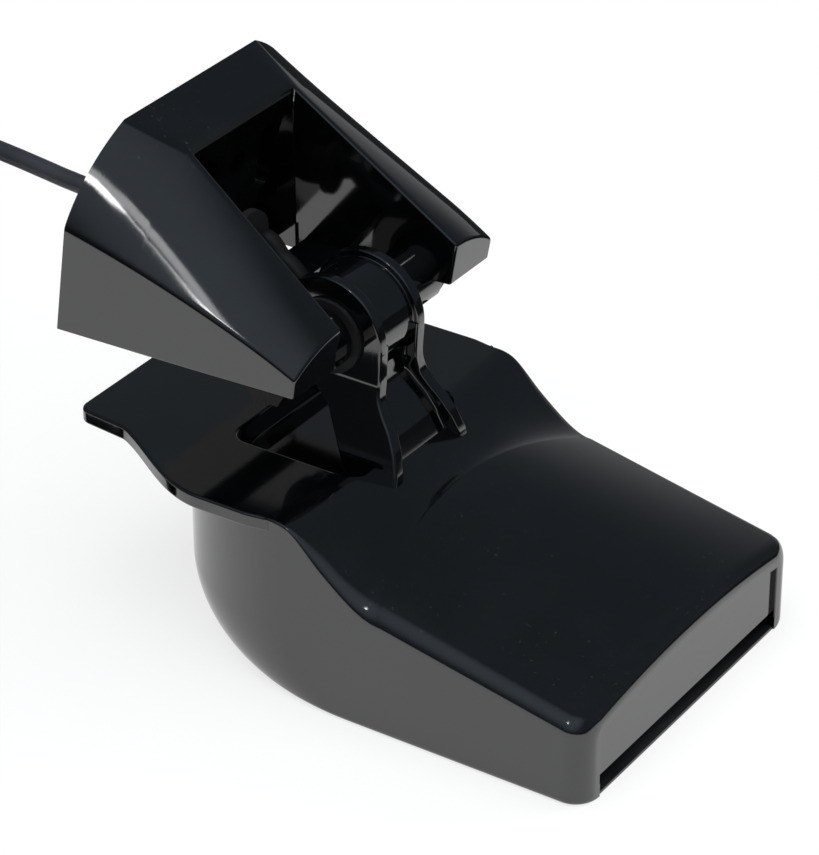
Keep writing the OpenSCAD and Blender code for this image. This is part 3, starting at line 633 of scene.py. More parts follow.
def flange_form(h):
    outline = flange_outline(h)
    low, high, r = h.deck_z - h.flange_t, h.deck_z, h.edge_r
    levels = fillet((0, low), r, (1, 1), 5) + fillet((0, high), r, (1, -1), 5, back=True)
    return Skin().loft([[(x, y, z) for x, y in inset(outline, -d)] for d, z in levels])


def pocket_form(h):
    """Cutter for the deck pocket, with a filleted floor and a rounded mouth."""
    p = hull_places(h)
    x1 = p.crest + h.pocket_past
    x0, hw, corner = x1 - h.pocket_len, h.pocket_w / 2, POCKET_CORNER
    floor, mouth = h.deck_z - h.pocket_depth, h.edge_r

    def ring(grow, z):
        points = []
        for cx, cy, a0 in ((x1, hw, 0), (x0, hw, 90), (x0, -hw, 180), (x1, -hw, 270)):
            cx += -corner if a0 in (0, 270) else corner
            cy += -corner if cy > 0 else corner
            points += [
                (cx + (corner + grow) * cosd(a0 + a), cy + (corner + grow) * sind(a0 + a), z)
                for a in steps(0, 90, 8)
            ]
        return points

    levels = fillet((0, floor), POCKET_FILLET, (-1, 1), 5)
    levels += fillet((0, h.deck_z), mouth, (1, -1), 5, back=True) + [(mouth, h.deck_z + 2)]
    return Skin().loft([ring(grow, z) for grow, z in levels])


def panel_form(h):
    """Cutter for the shallow end panel, with softened edges."""
    p = hull_places(h)
    hw = p.hw - h.tail_corner_r - h.panel_frame

    def ring(x, grow):
        top = []
        for s in steps(-1, 1, 32):
            y = s * hw
            z = h.tail_side_h + h.tail_crown * (1 - (y / p.hw) ** 2) - h.tail_edge_r - h.panel_frame
            top.append((x, y + s * grow, z + grow))
        return top + [(x, hw + grow, h.slot_h - 1), (x, -hw - grow, h.slot_h - 1)]

    stations = [(p.tail - h.panel_depth, 0)] + fillet((p.tail, 0), PANEL_SOFT, (-1, 1), 3)
    return Skin().loft([ring(x, grow) for x, grow in stations + [(p.tail + 1, PANEL_SOFT)]])


def slot_form(h):
    p = hull_places(h)
    return box(p.tail - h.slot_depth, p.tail + 2, p.hw - h.slot_post, -1, h.slot_h)


def plate_outline(h, fit):
    p = hull_places(h)
    middle, reach = bow_plan(h, p, 0)
    back, hw = p.tail - h.slot_depth + fit, p.hw - h.plate_in - fit
    arc = [(middle + (reach - h.plate_in - fit) * cosd(a), hw * sind(a)) for a in steps(90, 270, 60)]
    return arc + [(back, -hw), (back, hw)]


def plate_form(h):
    """Cutter for the seat of the base plate."""
    return prism_z(plate_outline(h, 0), -1, h.slot_h)


def build_plate():
    """Base plate with its edge softened below, and a tongue that floors the slot."""
    h = lengths(settings().housing)
    p = hull_places(h)
    outline = plate_outline(h, h.plate_fit)
    levels = fillet((0, 0), PLATE_SOFT, (1, 1), 4) + [(0, h.slot_h - h.plate_fit)]
    plate = mesh_object("window_plate", Skin().loft([
        [(x, y, z) for x, y in inset(outline, d)] for d, z in levels
    ]))
    tongue = box(
        p.tail - h.slot_depth - h.plate_in, p.tail - TONGUE_BACK, p.hw - h.slot_post - h.plate_fit,
        TONGUE_LOW, h.tongue_t,
    )
    return combine(plate, [tongue], "UNION")


def arm_form(h, a):
    """Arm from the deck up to the head: level slices with a scooped aft face and rounded edges."""
    p = hull_places(h)
    pivot_x, foot_z = pivot_at(h, a), h.deck_z - ARM_SINK
    head_back = pivot_x + a.head_r
    knee_drop, knee_back = ARM_FRONT_KNEE
    front = [
        (foot_z, p.crest - ARM_FRONT_FOOT), (a.pivot_z - knee_drop, p.crest - knee_back),
        (a.pivot_z + a.head_r * sind(HEAD_MEET), pivot_x + a.head_r * cosd(HEAD_MEET)),
    ]
    back = [(foot_z, head_back + ARM_BACK_FOOT)]
    back += [(a.pivot_z - drop, head_back + out) for drop, out in ARM_BACK] + [(a.pivot_z, head_back)]
    taper = [(foot_z + ARM_WIDE, a.foot_w / 2), (a.pivot_z - a.neck_drop, a.head_w / 2)]
    r = h.edge_r

    def slice_at(z):
        x0, x1, hw = (eased(line, z, reach) for line, reach in zip((front, back, taper), ARM_EASE))
        web, web_hw = x1 - a.scoop, hw - a.rim
        half = [(x0, 0.0), (x0, (hw - r) / 2)]
        half += fillet((x0, hw), r, (1, -1), 5, back=True) + fillet((x1, hw), r, (-1, -1), 5)
        half += fillet((x1, web_hw), ARM_RIM_R, (-1, 1), 4, back=True)
        half += fillet((web, web_hw), ARM_WEB_R, (1, -1), 5) + [(web, web_hw / 2), (web, 0.0)]
        ring = half + [(x, -y) for x, y in reversed(half[1:-1])]
        return [(x, y, z) for x, y in ring]

    return Skin().loft([slice_at(z) for z in steps(foot_z - 2, a.pivot_z, 64)])


def head_form(h, a):
    """Round head: a barrel between two rim discs."""
    hw, r, barrel = a.head_w / 2, h.edge_r, a.head_r - a.barrel_drop
    inner = hw - a.head_rim
    half = [(AXIS_R, hw)] + fillet((a.head_r, hw), r, (-1, -1), 5)
    half += fillet((a.head_r, inner), r, (-1, 1), 5, back=True)
    half += fillet((barrel, inner), r * HEAD_INNER, (1, -1), 4) + [(barrel, 0.0)]
    return Skin().turn_y((pivot_at(h, a), a.pivot_z), half + [(q, -y) for q, y in reversed(half[:-1])], 128)


def duct_line(a, pivot_x):
    """Direction and middle of the straight cable duct in front of the pivot."""
    across, along = cosd(DUCT_LEAN), sind(DUCT_LEAN)
    return (
        Vector((-along, 0, across)),
        Vector((pivot_x - a.duct_offset * across, 0, a.pivot_z - a.duct_offset * along)),
    )


def duct_form(h, a):
    """Cutter for the cable duct."""
    aim, middle = duct_line(a, pivot_at(h, a))
    side, out = Vector((0, 1, 0)), Vector((cosd(DUCT_LEAN), 0, sind(DUCT_LEAN)))
    return Skin().loft([
        [tuple(middle + aim * run + a.duct_d / 2 * (side * y + out * z)) for y, z in circle(1, 24)]
        for run in DUCT_ENDS
    ])


def build_housing():
    h, a = sizes("housing", "arm")
    shell = mesh_object("housing_shell", aft_form(h))
    combine(shell, [fore_form(h), flange_form(h)], "UNION")
    combine(shell, [pocket_form(h), panel_form(h), slot_form(h), plate_form(h)], "DIFFERENCE")
    combine(shell, [arm_form(h, a), head_form(h, a)], "UNION")
    pivot, bush_r = (pivot_at(h, a), a.pivot_z), a.bush_d / 2
    bush = Skin().turn_y(pivot, [(bush_r, -a.head_w), (bush_r, a.head_w)], 64)
    return combine(shell, [duct_form(h, a), bush], "DIFFERENCE")


# Bracket

# Leans, easings and laps of the bracket, in degrees, shares or millimetres
SIDE_LEAN = 0.05
ROOT_RAKE = 9.6
SHOULDER_FADE = 0.55
SHOULDER_EASE = 14.0
SHOULDER_END = 0.955
SIDE_CURVE = 0.36
EDGE_BLEND = 0.9
ROOF_MIN = 0.2
RIM_START, TIP_RUN = 0.7, 0.8
CUT_PAST = 10
BACK_FORE, BACK_CUT, BACK_DROP, BACK_SIDE = 1.5, 0.1, 0.4, 0.3
BRIDGE_LOW = 0.3


class BracketShape:
    """Sections of the bracket along X, for its starboard half."""

    def __init__(self, b, pivot_x):
        self.b = b
        self.tip = pivot_x + b.tip_from_pivot
        self.root = self.tip - b.run
        self.trough = self.root + b.block
        self.rake = math.tan(math.radians(ROOT_RAKE))
        self.edge = self.root + self.rake * b.root_top_h

    def along(self, x):
        return (x - self.root) / self.b.run

    def on_block(self, x):
        return (x - self.edge) / (self.trough - self.edge)

    def on_cheek(self, x):
        return (x - self.trough) / (self.tip - self.trough)

    def rim_top(self, x):
        b = self.b
        if x < self.trough:
            return b.bottom_z + mix(b.root_top_h, b.trough_top_h, self.on_block(x))
        return b.bottom_z + mix(b.trough_top_h, b.tip_top_h, self.on_cheek(x))

    def side_top(self, x):
        u = self.along(x)
        fall = (1 - SIDE_CURVE) * u + SIDE_CURVE * u * u
        return self.b.bottom_z + mix(self.b.root_side_h, self.b.tip_side_h, fall)

    def side_hw(self, x, z):
        return mix(self.b.root_w, self.b.tip_w, self.along(x)) / 2 + SIDE_LEAN * (z - self.b.bottom_z)

    def trough_hw(self, x):
        return mix(self.b.trough_root_w, self.b.trough_tip_w, self.on_cheek(max(x, self.trough))) / 2

    def land_hw(self, x):
        if x < self.trough:
            return mix(self.b.root_top_w / 2, self.b.trough_root_w / 2 + self.b.land, self.on_block(x))
        return self.trough_hw(x) + self.b.land

    def shoulder(self, x, t):
        reach = max(min(SHOULDER_EASE * t, x - self.edge, self.tip - x), 0)
        places = steps(x - reach, x + reach, 6)
        a = sum((Vector((self.land_hw(q), self.rim_top(q))) for q in places), Vector((0, 0))) / len(places)
        z = self.side_top(x)
        c = Vector((self.side_hw(x, z), z))
        out = Vector((a.y - c.y, c.x - a.x)).normalized()
        bow = 4 * t * (1 - t) * self.b.bulge * (1 - SHOULDER_FADE * self.along(x))
        return a.lerp(c, t) + out * bow

    def section(self, x, rounding, hollow):
        """Points (y, z) from the trough's rim over the shoulder and under the wall to the trough."""
        b, low = self.b, self.b.bottom_z
        th, top, r = self.trough_hw(x), self.rim_top(x), self.b.edge_r * rounding
        points = fillet((th, top), r, (1, -1), 5, back=True)
        points += [tuple(self.shoulder(x, t)) for t in steps(0, SHOULDER_END, 26)]
        near, z = Vector(points[-1]), self.side_top(x)
        edge = z - EDGE_BLEND
        corner, below = Vector((self.side_hw(x, z), z)), Vector((self.side_hw(x, edge), edge))
        points += [tuple(near.lerp(corner, t).lerp(corner.lerp(below, t), t)) for t in steps(0, 1, 5)[1:]]
        e = b.edge_r
        points += [(self.side_hw(x, q), q) for q in steps(edge, low + e, 5)[1:]]
        points += fillet((self.side_hw(x, low + e), low), e, (-1, 1), 3, back=True)[1:]
        inner, outer = th + b.wall, self.side_hw(x, low) - b.wall
        t0, t1 = 0.0, 1.0
        for _ in range(24):
            t = (t0 + t1) / 2
            t0, t1 = (t, t1) if self.shoulder(x, t).x - b.wall < inner else (t0, t)
        roof = [self.shoulder(x, t) - Vector((b.wall, b.wall)) for t in steps(1, t0, 8)]
        hole = [(outer, low)] + [tuple(q) for q in roof]
        points += [(y, mix(low, max(q, low + ROOF_MIN), hollow)) for y, q in hole]
        return points + [(inner, low)] + fillet((th, low), r, (1, 1), 3)

    def block_ring(self, share, hollow):
        """A sloping section of the root block, between the raked face and the trough."""
        low = self.b.bottom_z
        count = len(self.section(self.trough, 0, hollow))
        ring = []
        for i in range(count + 2):
            x, point = mix(self.root, self.trough, share), (0, low)
            for _ in range(4):
                body = self.section(x, 0, hollow)
                line = [(0.0, self.rim_top(x))] + body + [(0.0, low)]
                point = line[i]
                x = mix(self.root + self.rake * (point[1] - low), self.trough, share)
            ring.append((x, point[0], point[1]))
        return ring


def bracket_form(shape):
    """The whole bracket as one closed skin: root block, two cheeks and the trough between them."""
    b, low = shape.b, shape.b.bottom_z
    plate = b.plate / b.block
    block = [shape.block_ring(s, 0) for s in (0, plate * 0.5, plate)]
    block += [shape.block_ring(s, 1) for s in steps(plate, 1, 5)]
    hollow_end = shape.tip - b.wall
    stations = [(shape.trough, 0, 1)]
    stations += [(x, 1, 1) for x in steps(shape.trough + RIM_START, hollow_end, 18)]
    stations += [(hollow_end, 1, 0), (shape.tip - b.edge_r - TIP_RUN, 1, 0)]

    def wall_line(x, rounding):
        r = b.edge_r * rounding
        return [(shape.trough_hw(x), z) for z in steps(low + r, shape.rim_top(x) - r, 6)[1:-1]]

    def raked(x, z):
        """The cheeks' ends lean as the root does."""
        lean = shape.rake * smooth(min(max(shape.on_cheek(x) * 2 - 1, 0), 1))
        return x - lean * max(shape.rim_top(shape.tip) - z, 0)

    skin = Skin()
    for side in (1, -1):
        rows = [skin.ring([(x, side * y, z) for x, y, z in ring]) for ring in block]
        skin.bands(rows, closed=False)
        rings = []
        for x, rounding, hollow in stations:
            rings.append([(x, y, z) for y, z in shape.section(x, rounding, hollow) + wall_line(x, rounding)])
        for x, back in fillet((shape.tip, 0), b.edge_r, (-1, -1), 5):
            flat = shape.section(x, 1, 0) + wall_line(x, 1)
            rings.append([(x, y, z) for y, z in inset(flat, back)])
        rings = [[(raked(x, z), y, z) for x, y, z in ring] for ring in rings]
        made = [skin.ring([(x, side * y, z) for x, y, z in ring]) for ring in rings]
        skin.bands(made)
        skin.faces.append(tuple(made[-1]))
    count = len(block[0])
    port_first = len(block) * count + len(rings) * len(rings[0])
    port = range(port_first, port_first + count)
    skin.faces.append(tuple(range(count)) + tuple(reversed(port)))
    walls = wall_line(shape.trough, 0)
    th, top = shape.trough_hw(shape.trough), shape.rim_top(shape.trough)
    loop = [(0, low), (th, low)] + walls + [(th, top), (0, top)]
    loop += [(-y, z) for y, z in ([(th, top)] + walls[::-1] + [(th, low)])]
    skin.faces.append(tuple(skin.ring([(shape.trough, y, z) for y, z in loop])))
    return skin


def slot_outline(b, y):
    half, r, z = (b.slot_h - b.slot_w) / 2, b.slot_w / 2, b.bottom_z + b.slot_rise
    upper = [(y + r * cosd(t), z + half + r * sind(t)) for t in steps(0, 180, 12)]
    return upper + [(y + r * cosd(t), z - half + r * sind(t)) for t in steps(180, 360, 12)]


def boss_form(b, pivot, out, side):
    """A pivot boss on one side, from its inner face out into the cheek."""
    profile = [(AXIS_R, b.boss_in)] + fillet((b.boss_r, b.boss_in), b.edge_r, (-1, 1), 4)
    profile += fillet((b.boss_r, out), b.edge_r, (-1, -1), 4, back=True) + [(AXIS_R, out)]
    return Skin().turn_y(pivot, [(q, side * y) for q, y in profile])


def back_form(shape):
    """Cutter that leans the trough's back wall as the root face leans."""
    b, x = shape.b, shape.trough
    top = shape.rim_top(x)
    high, low, inside = top - b.edge_r - BACK_DROP, b.bottom_z - 1, b.trough_root_w / 2 - BACK_SIDE
    line = [
        (x + BACK_FORE, high), (x - BACK_CUT, high),
        (x - shape.rake * (top - b.bottom_z + 1), low), (x + BACK_FORE, low),
    ]
    return Skin().loft([[(x, y, z) for x, z in line] for y in (-inside, inside)])


def build_bracket():
    h, a, b = sizes("housing", "arm", "bracket")
    pivot_x = pivot_at(h, a)
    pivot, shape = (pivot_x, a.pivot_z), BracketShape(b, pivot_x)
    out = b.trough_tip_w / 2 + b.wall
    x0, x1 = shape.root - CUT_PAST, shape.trough + CUT_PAST
    under = b.bottom_z - b.boss_hang

    def bore(rise, diameter):
        return Skin().turn_x((x0, 0, b.bottom_z + rise), [(0, diameter / 2), (x1 - x0, diameter / 2)], 48)

    shell = mesh_object("bracket_shell", bracket_form(shape))
    combine(shell, [boss_form(b, pivot, out, side) for side in (1, -1)], "UNION")
    combine(shell, [back_form(shape)], "DIFFERENCE")
    bridge = box(
        shape.trough + b.bridge_gap, pivot_x - a.head_r - 1, b.trough_root_w / 2 + b.wall / 2,
        b.bottom_z + BRIDGE_LOW, b.bottom_z + b.bridge_t,
    )
    combine(shell, [bridge], "UNION")
    cutters = [
        box(pivot_x - CUT_PAST, pivot_x + CUT_PAST, out + 1, under - CUT_PAST, under),
        bore(b.cable_rise, b.cable_hole_d), bore(b.lock_rise, b.lock_d),
        Skin().turn_y(pivot, [(b.bolt_hole_d / 2, -out - 2), (b.bolt_hole_d / 2, out + 2)], 48),
    ]
    for y in (b.slot_gap / 2, -b.slot_gap / 2):
        cutters.append(Skin().loft([[(x, *q) for q in slot_outline(b, y)] for x in (x0, x1)]))
    return combine(shell, cutters, "DIFFERENCE", split=True)


# Cable

# The free run from the bracket to the coil
CORD_ROUTE = [
    (-70, 0, 75), (-82, 0, 75), (-92, 0, 76), (-104, 0, 77.2), (-115, 0.8, 76.8), (-126, 3.2, 74),
    (-136, 7.2, 69.2), (-145, 12, 62.6), (-153.5, 17.2, 54.6), (-161.5, 22.2, 45.8), (-169.5, 26.8, 36.8),
    (-177.5, 30.6, 28.2), (-186, 32.9, 20.4), (-195, 32.6, 13.8), (-203.5, 29, 8.8), (-210.6, 22.4, 5.4),
    (-215.8, 13.6, 3.4), (-219, 3, 2.5), (-220.2, -10, 2.2),
]
GROMMET_LIP = 1.6
TURN_POINTS = 24
COIL_ENTRY, COIL_CLIMB = 0.5, 0.25
# Steps of the lead, out of the duct and into the grommet
LEAD_OUT, LEAD_OVER, LEAD_IN = (-3, 0, 3.7), (-6, 0, 5.6), (4, 0, 0.4)


def through(points, parts):
    """Points on a smooth curve through the given ones."""
    line = [Vector(p) for p in points]
    line = [2 * line[0] - line[1]] + line + [2 * line[-1] - line[-2]]
    made = []
    for p0, p1, p2, p3 in zip(line, line[1:], line[2:], line[3:]):
        for k in range(parts):
            t = k / parts
            made.append(0.5 * (
                2 * p1 + (p2 - p0) * t + (2 * p0 - 5 * p1 + 4 * p2 - p3) * t * t
                + (3 * p1 - p0 - 3 * p2 + p3) * t * t * t
            ))
    return made + [line[-2]]


def cord_places():
    """Places along the cable that several pieces share, in millimetres."""
    h, a, b, c = sizes("housing", "arm", "bracket", "cord")
    pivot_x = pivot_at(h, a)
    shape = BracketShape(b, pivot_x)
    out_x = shape.root + shape.rake * b.cable_rise + GROMMET_LIP
    rows = settings().counts.rows
    coil_out = c.coil_mid_d / 2 + rows * c.cable_d / 2
    reach = coil_out + c.cable_d / 2 + c.coil_fit
    end = CORD_ROUTE[-1]
    middle = (end[0] + reach, end[1])
    top = c.coil_z + (settings().counts.layers - 0.5) * c.cable_d
    return SimpleNamespace(
        out=(out_x, 0, b.bottom_z + b.cable_rise), coil_out=coil_out, reach=reach, middle=middle, top=top,
        tail_y=middle[1] - reach, boot_x=middle[0] + c.tail_run, plug_z=c.ring_d / 2,
        grommet_x=shape.trough + GROMMET_LIP, pivot_x=pivot_x,
    )


def coil_line(c, at):
    """The wound turns: flat spirals in and out, with a slow climb from each layer to the next."""
    rows, layers = settings().counts.rows, settings().counts.layers
    far = at.coil_out - c.cable_d / 2
    near = far - (rows - 1) * c.cable_d
    z = c.coil_z + c.cable_d / 2
    spans = [(COIL_ENTRY, at.reach, far, CORD_ROUTE[-1][2], z)]
    for layer in range(layers):
        start, end = (far, near) if layer % 2 == 0 else (near, far)
        spans.append((rows - 1, start, end, z, z))
        if layer < layers - 1:
            spans.append((COIL_CLIMB, end, end, z, z + c.cable_d))
            z += c.cable_d
    spans.append((COIL_ENTRY, far, at.reach, z, z))
    points, angle = [], 180.0
    for turns, r0, r1, z0, z1 in spans:
        count = max(int(round(turns * TURN_POINTS)), 6)
        for k in range(1, count + 1):
            t = k / count
            share = t if turns > 1 else smooth(t)
            r, theta = mix(r0, r1, share), angle + 360 * turns * t
            points.append(Vector((
                at.middle[0] + r * cosd(theta), at.middle[1] + r * sind(theta), mix(z0, z1, share)
            )))
        angle += 360 * turns
    return points


def cord_line():
    """The cable's middle line from the bracket's root to the connector."""
    c, at = lengths(settings().cord), cord_places()
    out = Vector(at.out)
    line = through([out, out - Vector((c.cable_d, 0, 0))] + CORD_ROUTE, 2)
    line += coil_line(c, at)
    run = c.tail_run - c.tail_end
    line += [
        Vector((at.middle[0] + t * run, at.tail_y, mix(at.top, at.plug_z, smooth(t))))
        for t in steps(0, 1, 14)[1:]
    ]
    return line + [Vector((at.boot_x - c.coil_fit, at.tail_y, at.plug_z))]


def tube_skin(line, radius, sides):
    """A round tube along a line, turned no more than the line itself."""
    rings = []
    ahead = (line[1] - line[0]).normalized()
    side = ahead.cross(Vector((0, 0, 1))).normalized()
    for i, point in enumerate(line):
        aim = (line[min(i + 1, len(line) - 1)] - line[max(i - 1, 0)]).normalized()
        side = (side - aim * side.dot(aim)).normalized()
        up = aim.cross(side)
        rings.append([tuple(point + radius * (side * x + up * y)) for x, y in circle(1, sides)])
    return Skin().loft(rings)


# Nodes

def add(tree, kind, **values):
    """A new node with the values of its inputs; an underscore stands for a space in their names."""
    return set_inputs(tree.nodes.new(kind), values)


def set_inputs(node, values):
    for key, value in values.items():
        node.inputs[key.replace("_", " ")].default_value = value
    return node


def wire(tree, *joints):
    """Links nodes; a joint is (from, output, to, input)."""
    for one, output, two, entry in joints:
        tree.links.new(one.outputs[output], two.inputs[entry])


def feed(tree, value, socket):
    """Gives an input a value or another node's output; a colour gets its alpha."""
    if isinstance(value, bpy.types.NodeSocket):
        tree.links.new(value, socket)
    else:
        socket.default_value = (*value, 1) if isinstance(value, tuple) else value


# Repeats, as node trees

def tree_with(name, sockets):
    tree = bpy.data.node_groups.new(name, "GeometryNodeTree")
    tree.is_modifier = True
    tree.interface.new_socket(name="Geometry", in_out="INPUT", socket_type="NodeSocketGeometry")
    for label, kind in sockets:
        tree.interface.new_socket(name=label, in_out="INPUT", socket_type="NodeSocket" + kind)
    tree.interface.new_socket(name="Geometry", in_out="OUTPUT", socket_type="NodeSocketGeometry")
    return tree


def finish_tree(tree, into, made, output):
    """Joins what was made to the core that comes in, and ends in Realize Instances and Set Material."""
    join = add(tree, "GeometryNodeJoinGeometry")
    realize = add(tree, "GeometryNodeRealizeInstances")
    coat = add(tree, "GeometryNodeSetMaterial")
    wire(
        tree,
        (into, "Geometry", join, "Geometry"), (made, output, join, "Geometry"),
        (join, "Geometry", realize, "Geometry"), (realize, "Geometry", coat, "Geometry"),
        (into, "Material", coat, "Material"), (coat, "Geometry", add(tree, "NodeGroupOutput"), 0),
    )
    return tree


def bars_in_circle_tree():
    """Bars along X, evenly round a circle, joined to the core that comes in."""
    tree = tree_with("Bars in a circle", [
        ("Count", "Int"), ("Circle radius", "Float"), ("Bar radius", "Float"), ("Bar length", "Float"),
        ("Middle", "Vector"), ("Material", "Material"),
    ])
    into = add(tree, "NodeGroupInput")
    hoop = add(tree, "GeometryNodeMeshCircle")
    bar = add(tree, "GeometryNodeMeshUVSphere", Segments=14, Rings=10, Radius=1.0)
    shape = add(tree, "GeometryNodeTransform")
    scale = add(tree, "ShaderNodeCombineXYZ")
    half = add(tree, "ShaderNodeMath")
    half.operation = "MULTIPLY"
    half.inputs[1].default_value = 0.5
    place = add(tree, "GeometryNodeInstanceOnPoints")
    lay = add(tree, "GeometryNodeTransform", Rotation=(0, math.pi / 2, 0))
    wire(
        tree,
        (into, "Count", hoop, "Vertices"), (into, "Circle radius", hoop, "Radius"),
        (into, "Bar radius", scale, "X"), (into, "Bar radius", scale, "Y"),
        (into, "Bar length", half, 0), (half, 0, scale, "Z"),
        (bar, "Mesh", shape, "Geometry"), (scale, "Vector", shape, "Scale"),
        (hoop, "Mesh", place, "Points"), (shape, "Geometry", place, "Instance"),
        (place, "Instances", lay, "Geometry"), (into, "Middle", lay, "Translation"),
    )
    return finish_tree(tree, into, lay, "Geometry")


def rings_in_line_tree():
    """Rings round the X axis, evenly spaced and growing, joined to the core that comes in."""
    tree = tree_with("Rings in a line", [
        ("Count", "Int"), ("Pitch", "Float"), ("First radius", "Float"), ("Growth", "Float"),
        ("Thickness", "Float"), ("Start", "Vector"), ("Material", "Material"),
    ])
    into = add(tree, "NodeGroupInput")
    line = add(tree, "GeometryNodeMeshLine")
    gap = add(tree, "ShaderNodeCombineXYZ")
    hoop = add(tree, "GeometryNodeCurvePrimitiveCircle", Resolution=48, Radius=1.0)
    place = add(tree, "GeometryNodeInstanceOnPoints", Rotation=(0, math.pi / 2, 0))
    index = add(tree, "GeometryNodeInputIndex")
    grow = add(tree, "ShaderNodeMath")
    grow.operation = "MULTIPLY_ADD"
    loose = add(tree, "GeometryNodeRealizeInstances")
    section = add(tree, "GeometryNodeCurvePrimitiveCircle", Resolution=10)
    sweep = add(tree, "GeometryNodeCurveToMesh")
    wire(
        tree,
        (into, "Count", line, "Count"), (into, "Pitch", gap, "X"),
        (gap, "Vector", line, "Offset"), (into, "Start", line, "Start Location"),
        (index, "Index", grow, 0), (into, "Growth", grow, 1), (into, "First radius", grow, 2),
        (line, "Mesh", place, "Points"), (hoop, "Curve", place, "Instance"), (grow, 0, place, "Scale"),
        (place, "Instances", loose, "Geometry"), (loose, "Geometry", sweep, "Curve"),
        (into, "Thickness", section, "Radius"), (section, "Curve", sweep, "Profile Curve"),
    )
    return finish_tree(tree, into, sweep, "Mesh")


def grow_repeats(piece, tree, values):
    """Runs a tree on a piece and keeps the result as a plain mesh."""
    modifier = piece.modifiers.new(tree.name, "NODES")
    modifier.node_group = tree
    for item in tree.interface.items_tree:
        if item.item_type == "SOCKET" and item.in_out == "INPUT" and item.name in values:
            modifier[item.identifier] = values[item.name]
    settle(piece)
    return piece


# Finishes

FINISH_PREFIX = "finish_"
DUST_COLOUR = (0.22, 0.21, 0.20)


class Finish:
    """A material with one Principled shader, and short ways to add and join nodes."""

    def __init__(self, name, colour_value, roughness, metallic=0.0):
        self.material = bpy.data.materials.new(FINISH_PREFIX + name)
        self.material.use_nodes = True
        self.tree = self.material.node_tree
        self.shader = self.tree.nodes["Principled BSDF"]
        self.shader.inputs["Base Color"].default_value = (*colour_value, 1)
        self.shader.inputs["Roughness"].default_value = roughness
        self.shader.inputs["Metallic"].default_value = metallic
        self.place = self.tree.nodes.new("ShaderNodeTexCoord").outputs["Object"]
        self.material.diffuse_color = (*colour_value, 1)

    def group(self, tree, **values):
        node = add(self.tree, "ShaderNodeGroup")
        node.node_tree = tree
        self.tree.links.new(self.place, node.inputs["Vector"])
        return set_inputs(node, values)

    def span(self, mask, low, high):
        """Turns a mask into a value from low to high."""
        node = add(self.tree, "ShaderNodeMapRange", To_Min=low, To_Max=high)
        self.tree.links.new(mask, node.inputs["Value"])
        return node.outputs["Result"]

    def tint(self, mask, base, other):
        return mix_colours(self.tree, mask, base, other)

    def set(self, socket, value):
        self.tree.links.new(value, self.shader.inputs[socket])

    def bump(self, height, strength, distance, under=None):
        node = add(self.tree, "ShaderNodeBump", Strength=strength, Distance=distance)
        self.tree.links.new(height, node.inputs["Height"])
        if under is not None:
            self.tree.links.new(under, node.inputs["Normal"])
        self.set("Normal", node.outputs["Normal"])
        return node.outputs["Normal"]


def mix_colours(tree, mask, base, other):
    """Mixes two colours by a mask."""
    node = add(tree, "ShaderNodeMix")
    node.data_type = "RGBA"
    tree.links.new(mask, node.inputs["Factor"])
    feed(tree, base, node.inputs[6])
    feed(tree, other, node.inputs[7])
    return node.outputs[2]


def shader_group(name, inputs, outputs):
    """An empty shader node group with a Vector input and the given ones."""
    tree = bpy.data.node_groups.new(name, "ShaderNodeTree")
    tree.interface.new_socket(name="Vector", in_out="INPUT", socket_type="NodeSocketVector")
    for label, value in inputs:
        socket = tree.interface.new_socket(name=label, in_out="INPUT", socket_type="NodeSocketFloat")
        socket.default_value = value
    for label in outputs:
        tree.interface.new_socket(name=label, in_out="OUTPUT", socket_type="NodeSocketFloat")
    return tree, tree.nodes.new("NodeGroupInput"), tree.nodes.new("NodeGroupOutput")


def noise(tree, vector, scale, detail, rough=0.5):
    node = add(tree, "ShaderNodeTexNoise", Detail=detail, Roughness=rough)
    tree.links.new(vector, node.inputs["Vector"])
    tree.links.new(scale, node.inputs["Scale"])
    return node.outputs["Fac"]


def threshold(tree, value, low, high):
    node = add(tree, "ShaderNodeMapRange", From_Min=low, From_Max=high)
    node.interpolation_type = "SMOOTHSTEP"
    tree.links.new(value, node.inputs["Value"])
    return node.outputs["Result"]


def math_node(tree, operation, first, second):
    node = add(tree, "ShaderNodeMath")
    node.operation = operation
    for socket, value in zip(node.inputs, (first, second)):
        feed(tree, value, socket)
    return node.outputs[0]


def vector_math(tree, operation, socket, other):
    """One number from a vector socket and a fixed vector."""
    node = add(tree, "ShaderNodeVectorMath")
    node.operation = operation
    tree.links.new(socket, node.inputs[0])
    node.inputs[1].default_value = other
    return node.outputs["Value"]


def moulded_grain_group():
    """Skin of a moulding: a slow ripple with a fine grain on it, and handling smudges."""
    tree, into, out = shader_group(
        "Moulded grain", [("Grain scale", 2600.0), ("Ripple scale", 60.0), ("Smudge scale", 24.0)],
        ["Grain", "Ripple", "Smudge"],
    )
    place = into.outputs["Vector"]
    tree.links.new(noise(tree, place, into.outputs["Grain scale"], 2.0), out.inputs["Grain"])
    tree.links.new(noise(tree, place, into.outputs["Ripple scale"], 1.0), out.inputs["Ripple"])
    cloud = noise(tree, place, into.outputs["Smudge scale"], 4.0, 0.6)
    tree.links.new(threshold(tree, cloud, 0.42, 0.72), out.inputs["Smudge"])
    return tree


